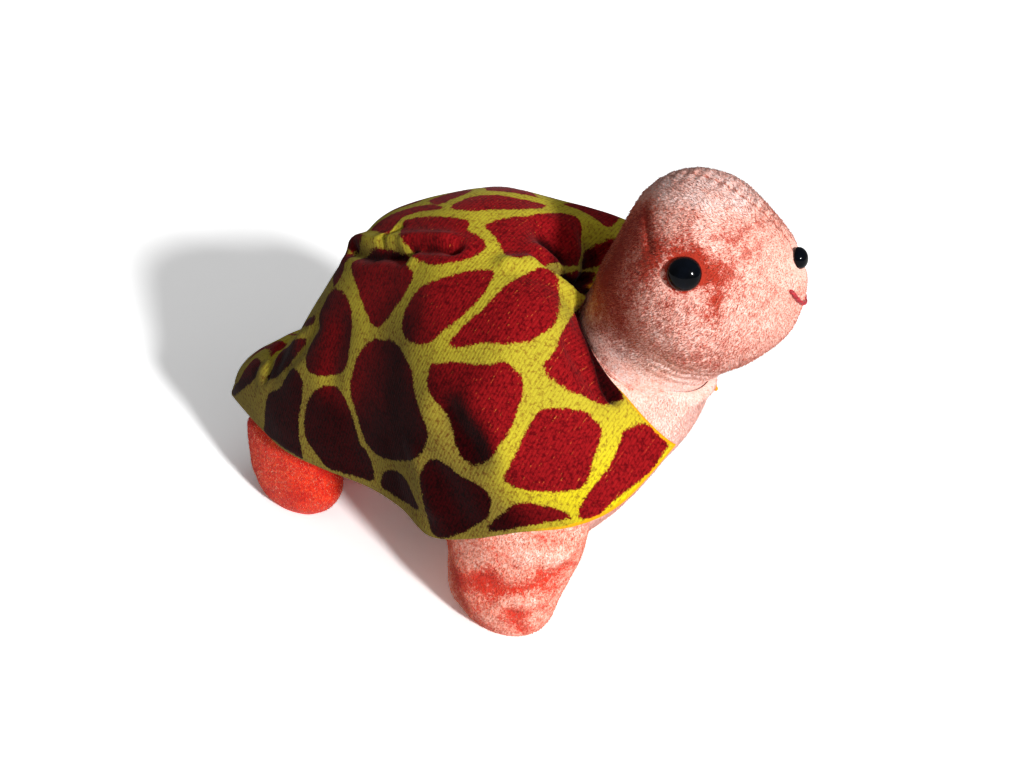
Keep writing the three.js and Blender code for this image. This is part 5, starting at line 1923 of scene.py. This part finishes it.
def makeBelly():
    rows = belly["rows"]
    turn = evenly(belly["columns"], 0.2) * 2 - 1
    share = np.linspace(0, 1, rows)[:, None]
    t = belly["firstShare"] + share * (belly["lastRow"] - belly["firstShare"]) + 0 * turn
    turns = np.broadcast_to(turn, t.shape)
    v = np.linspace(0, 1, belly["bibRows"] + 1)[1:, None] + 0 * turn
    base = np.concatenate([bellyFace(t, turns), bibFace(v, turn)])
    up = np.concatenate([np.zeros(t.shape), v])
    # ease the join between the two, without moving the sides
    row = np.arange(len(base))[:, None, None]
    mix = np.exp(-((row - rows) / 7.0) ** 2) * smooth(1 - np.abs(turn), 0, 0.15)[None, :, None]
    base = base + (soften(base, 10) - base) * mix
    normal = gridNormals(base)
    half = rows // 2
    normal *= np.sign((normal[half] * faceNormal(bellyFace, t[half], turns[half])).sum(-1).mean())
    inner = smooth(1 - np.abs(turn), 0, 0.2)[None, :]
    drawn = bib["chest"] * smooth(-base[..., 1], 42, 72) * (1 - smooth(base[..., 2], 60, 74)) * inner
    wave = (0.6 * ripple(base, 22, 30) + 0.25 * ripple(base, 8, 31)) * inner * (1 - up)
    outer = base + normal * (np.minimum(wave, 0.3) + drawn)[..., None]
    outer[rows:] += normal[rows:] * np.minimum(0.25 * ripple(base[rows:], 5, 34) * inner, 0.1)[..., None]
    thick = np.where(np.arange(len(base))[:, None] < rows, shell["plushThickness"], bibThickness(up))
    points, faces, source = thickSheet(outer, outer + normal * thick[..., None], 4)
    recess = 0.3 * smooth(-ripple(base, 18, 33), 0.15, 0.5) * (1 - smooth(-base[..., 1], 60, 80))
    # paler over the chest
    chest = smooth(-base[..., 1], 45, 70) * (0.6 + 0.3 * up)
    piece = addPiece("bellyPanel", points, faces, pinkPlush,
                     {"recess": recess.ravel()[source], "paleAndPaintedLight": chest.ravel()[source]})
    oval = belly["opening"]
    angle = np.arange(72) / 72 * 2 * math.pi
    ring = asPoints(oval["halfWidth"] * np.cos(angle), oval["y"] + oval["halfLength"] * np.sin(angle),
                    0 * angle)
    middle, top = ring * 0 + ring.mean(0), [0, 0, oval["cutHeight"]]
    cutAway(piece, addRound("openingCutter", np.stack([middle, ring, ring + top, middle + top]), pinkPlush))
    keepLargest(piece)
    piece.data.shade_smooth()
    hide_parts("belly_panel")
    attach(piece, "torso")
    print("belly made,", len(piece.data.polygons), "faces")
    # pile: thick on the chest, thin underneath, none at the seams and the opening
    away = np.hypot(outer[..., 0] / (oval["halfWidth"] + 3),
                    (outer[..., 1] - oval["y"]) / (oval["halfLength"] + 3))
    thickness = smooth(1 - np.abs(turns[:1]), 0.0, 0.05) * smooth(away, 0.98, 1.04) * nearLegs(outer, 3)
    chestward = smooth(-outer[..., 1], 30, 45)
    thickness = thickness * (belly["underThin"] + (1 - belly["underThin"]) * chestward)
    tall = belly["pileLength"] * (1 - belly["topShorter"] * smooth(up, 0.5, 1))
    swirl = 0.4 * np.stack([ripple(outer, 16, seed) for seed in (64, 65, 66)], -1)
    comb = combing(-normal, np.array([0, 0.4, -0.9]) + swirl, pile["lean"])
    growPile("bellyPile", outer, False,
             {"recess": recess, "paleAndPaintedLight": chest, "thick": thickness, "tall": tall}, comb, belly["pileDensity"],
             pinkPile, lambda made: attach(made, "torso"))


makeBelly()


# Neck band, and the binding round the hand's opening

band = {
    "top": -2.5,  # mm along the neck, under the bib
    "bottom": -14,
    "edge": 0.25,  # mm, how thick it is at its top
    "thickness": 0.9,
    "segments": 200,
}


def makeNeckBand():
    inner = neck["radius"] + bandGap
    outer = inner + band["thickness"]
    low, high = math.asin(band["bottom"] / outer), math.asin(band["top"] / outer)
    angle = np.linspace(low, high, 26)
    thin = band["edge"] + (band["thickness"] - band["edge"]) * (1 - smooth(angle, -0.25, high))
    face = asPoints((inner + thin) * np.cos(angle), (inner + thin) * np.sin(angle))
    back = asPoints(inner * np.cos(angle), inner * np.sin(angle))[::-1]
    grid = fromNeck(latheGrid(np.concatenate([face, back, face[:1]]), band["segments"]))
    recess = 0.25 + 0.3 * ripple(grid, 14, 51)
    # paler at the front
    paleAndPaintedLight = smooth(-grid[..., 1], 60, 84)
    piece = addRound("neckBand", grid, pinkPlush, {"recess": np.clip(recess, 0, 1), "paleAndPaintedLight": paleAndPaintedLight})
    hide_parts("neck_band")
    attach(piece, "neck")


binding = {
    "radius": 1.6,  # mm
    "slack": 0.3,
    "pinch": 0.1,  # how much thinner it is at each stitch
    "pinchSteps": 5,
    "steps": 180,
    "sides": 14,
    "colour": linear(222, 150, 132),
    "deepColour": linear(196, 120, 104),
}


def bindingPath():
    angle = np.arange(binding["steps"]) / binding["steps"] * 2 * math.pi
    inset = binding["radius"] + shell["clearance"] + binding["slack"]
    oval = belly["opening"]
    x = (oval["halfWidth"] - inset) * np.cos(angle)
    y = oval["y"] + (oval["halfLength"] - inset) * np.sin(angle)
    # the t at which the belly comes under each point, by halving
    low, high = np.zeros_like(x), np.ones_like(x)
    for _ in range(26):
        t = (low + high) / 2
        half = bellyFace(t, 1.0)[..., 0]
        turn = np.arcsin(np.clip(np.abs(x) / half, 0, 1)) * 2 / math.pi
        point = bellyFace(t, turn)
        behind = point[..., 1] > y
        low, high = np.where(behind, t, low), np.where(behind, high, t)
    return asPoints(x, y, point[..., 2] + shell["plushThickness"] / 2)


def makeBinding():
    path = bindingPath()
    along = unit(np.roll(path, -1, 0) - np.roll(path, 1, 0))
    aside = unit(np.cross(along, [0, 0, 1]))
    up = np.cross(aside, along)
    angle = (np.arange(binding["sides"]) / binding["sides"] * 2 * math.pi)[None, :, None]
    stitch = np.cos(np.arange(len(path)) * 2 * math.pi / binding["pinchSteps"]) ** 8
    radius = binding["radius"] * (1 - binding["pinch"] * stitch)[:, None, None]
    rings = path[:, None] + radius * (np.cos(angle) * aside[:, None] + np.sin(angle) * up[:, None])
    rings = np.concatenate([rings, rings[:1]])
    tape = Finish("bindingTape", 0.85, {"Sheen Weight": 0.1}).mottle(
        binding["deepColour"], binding["colour"], 0.15, 0.6, 1400, 2)
    piece = addRound("openingBinding", rings, tape)
    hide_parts("opening_binding")
    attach(piece, "torso")


makeNeckBand()
makeBinding()
print("neck band and binding made")
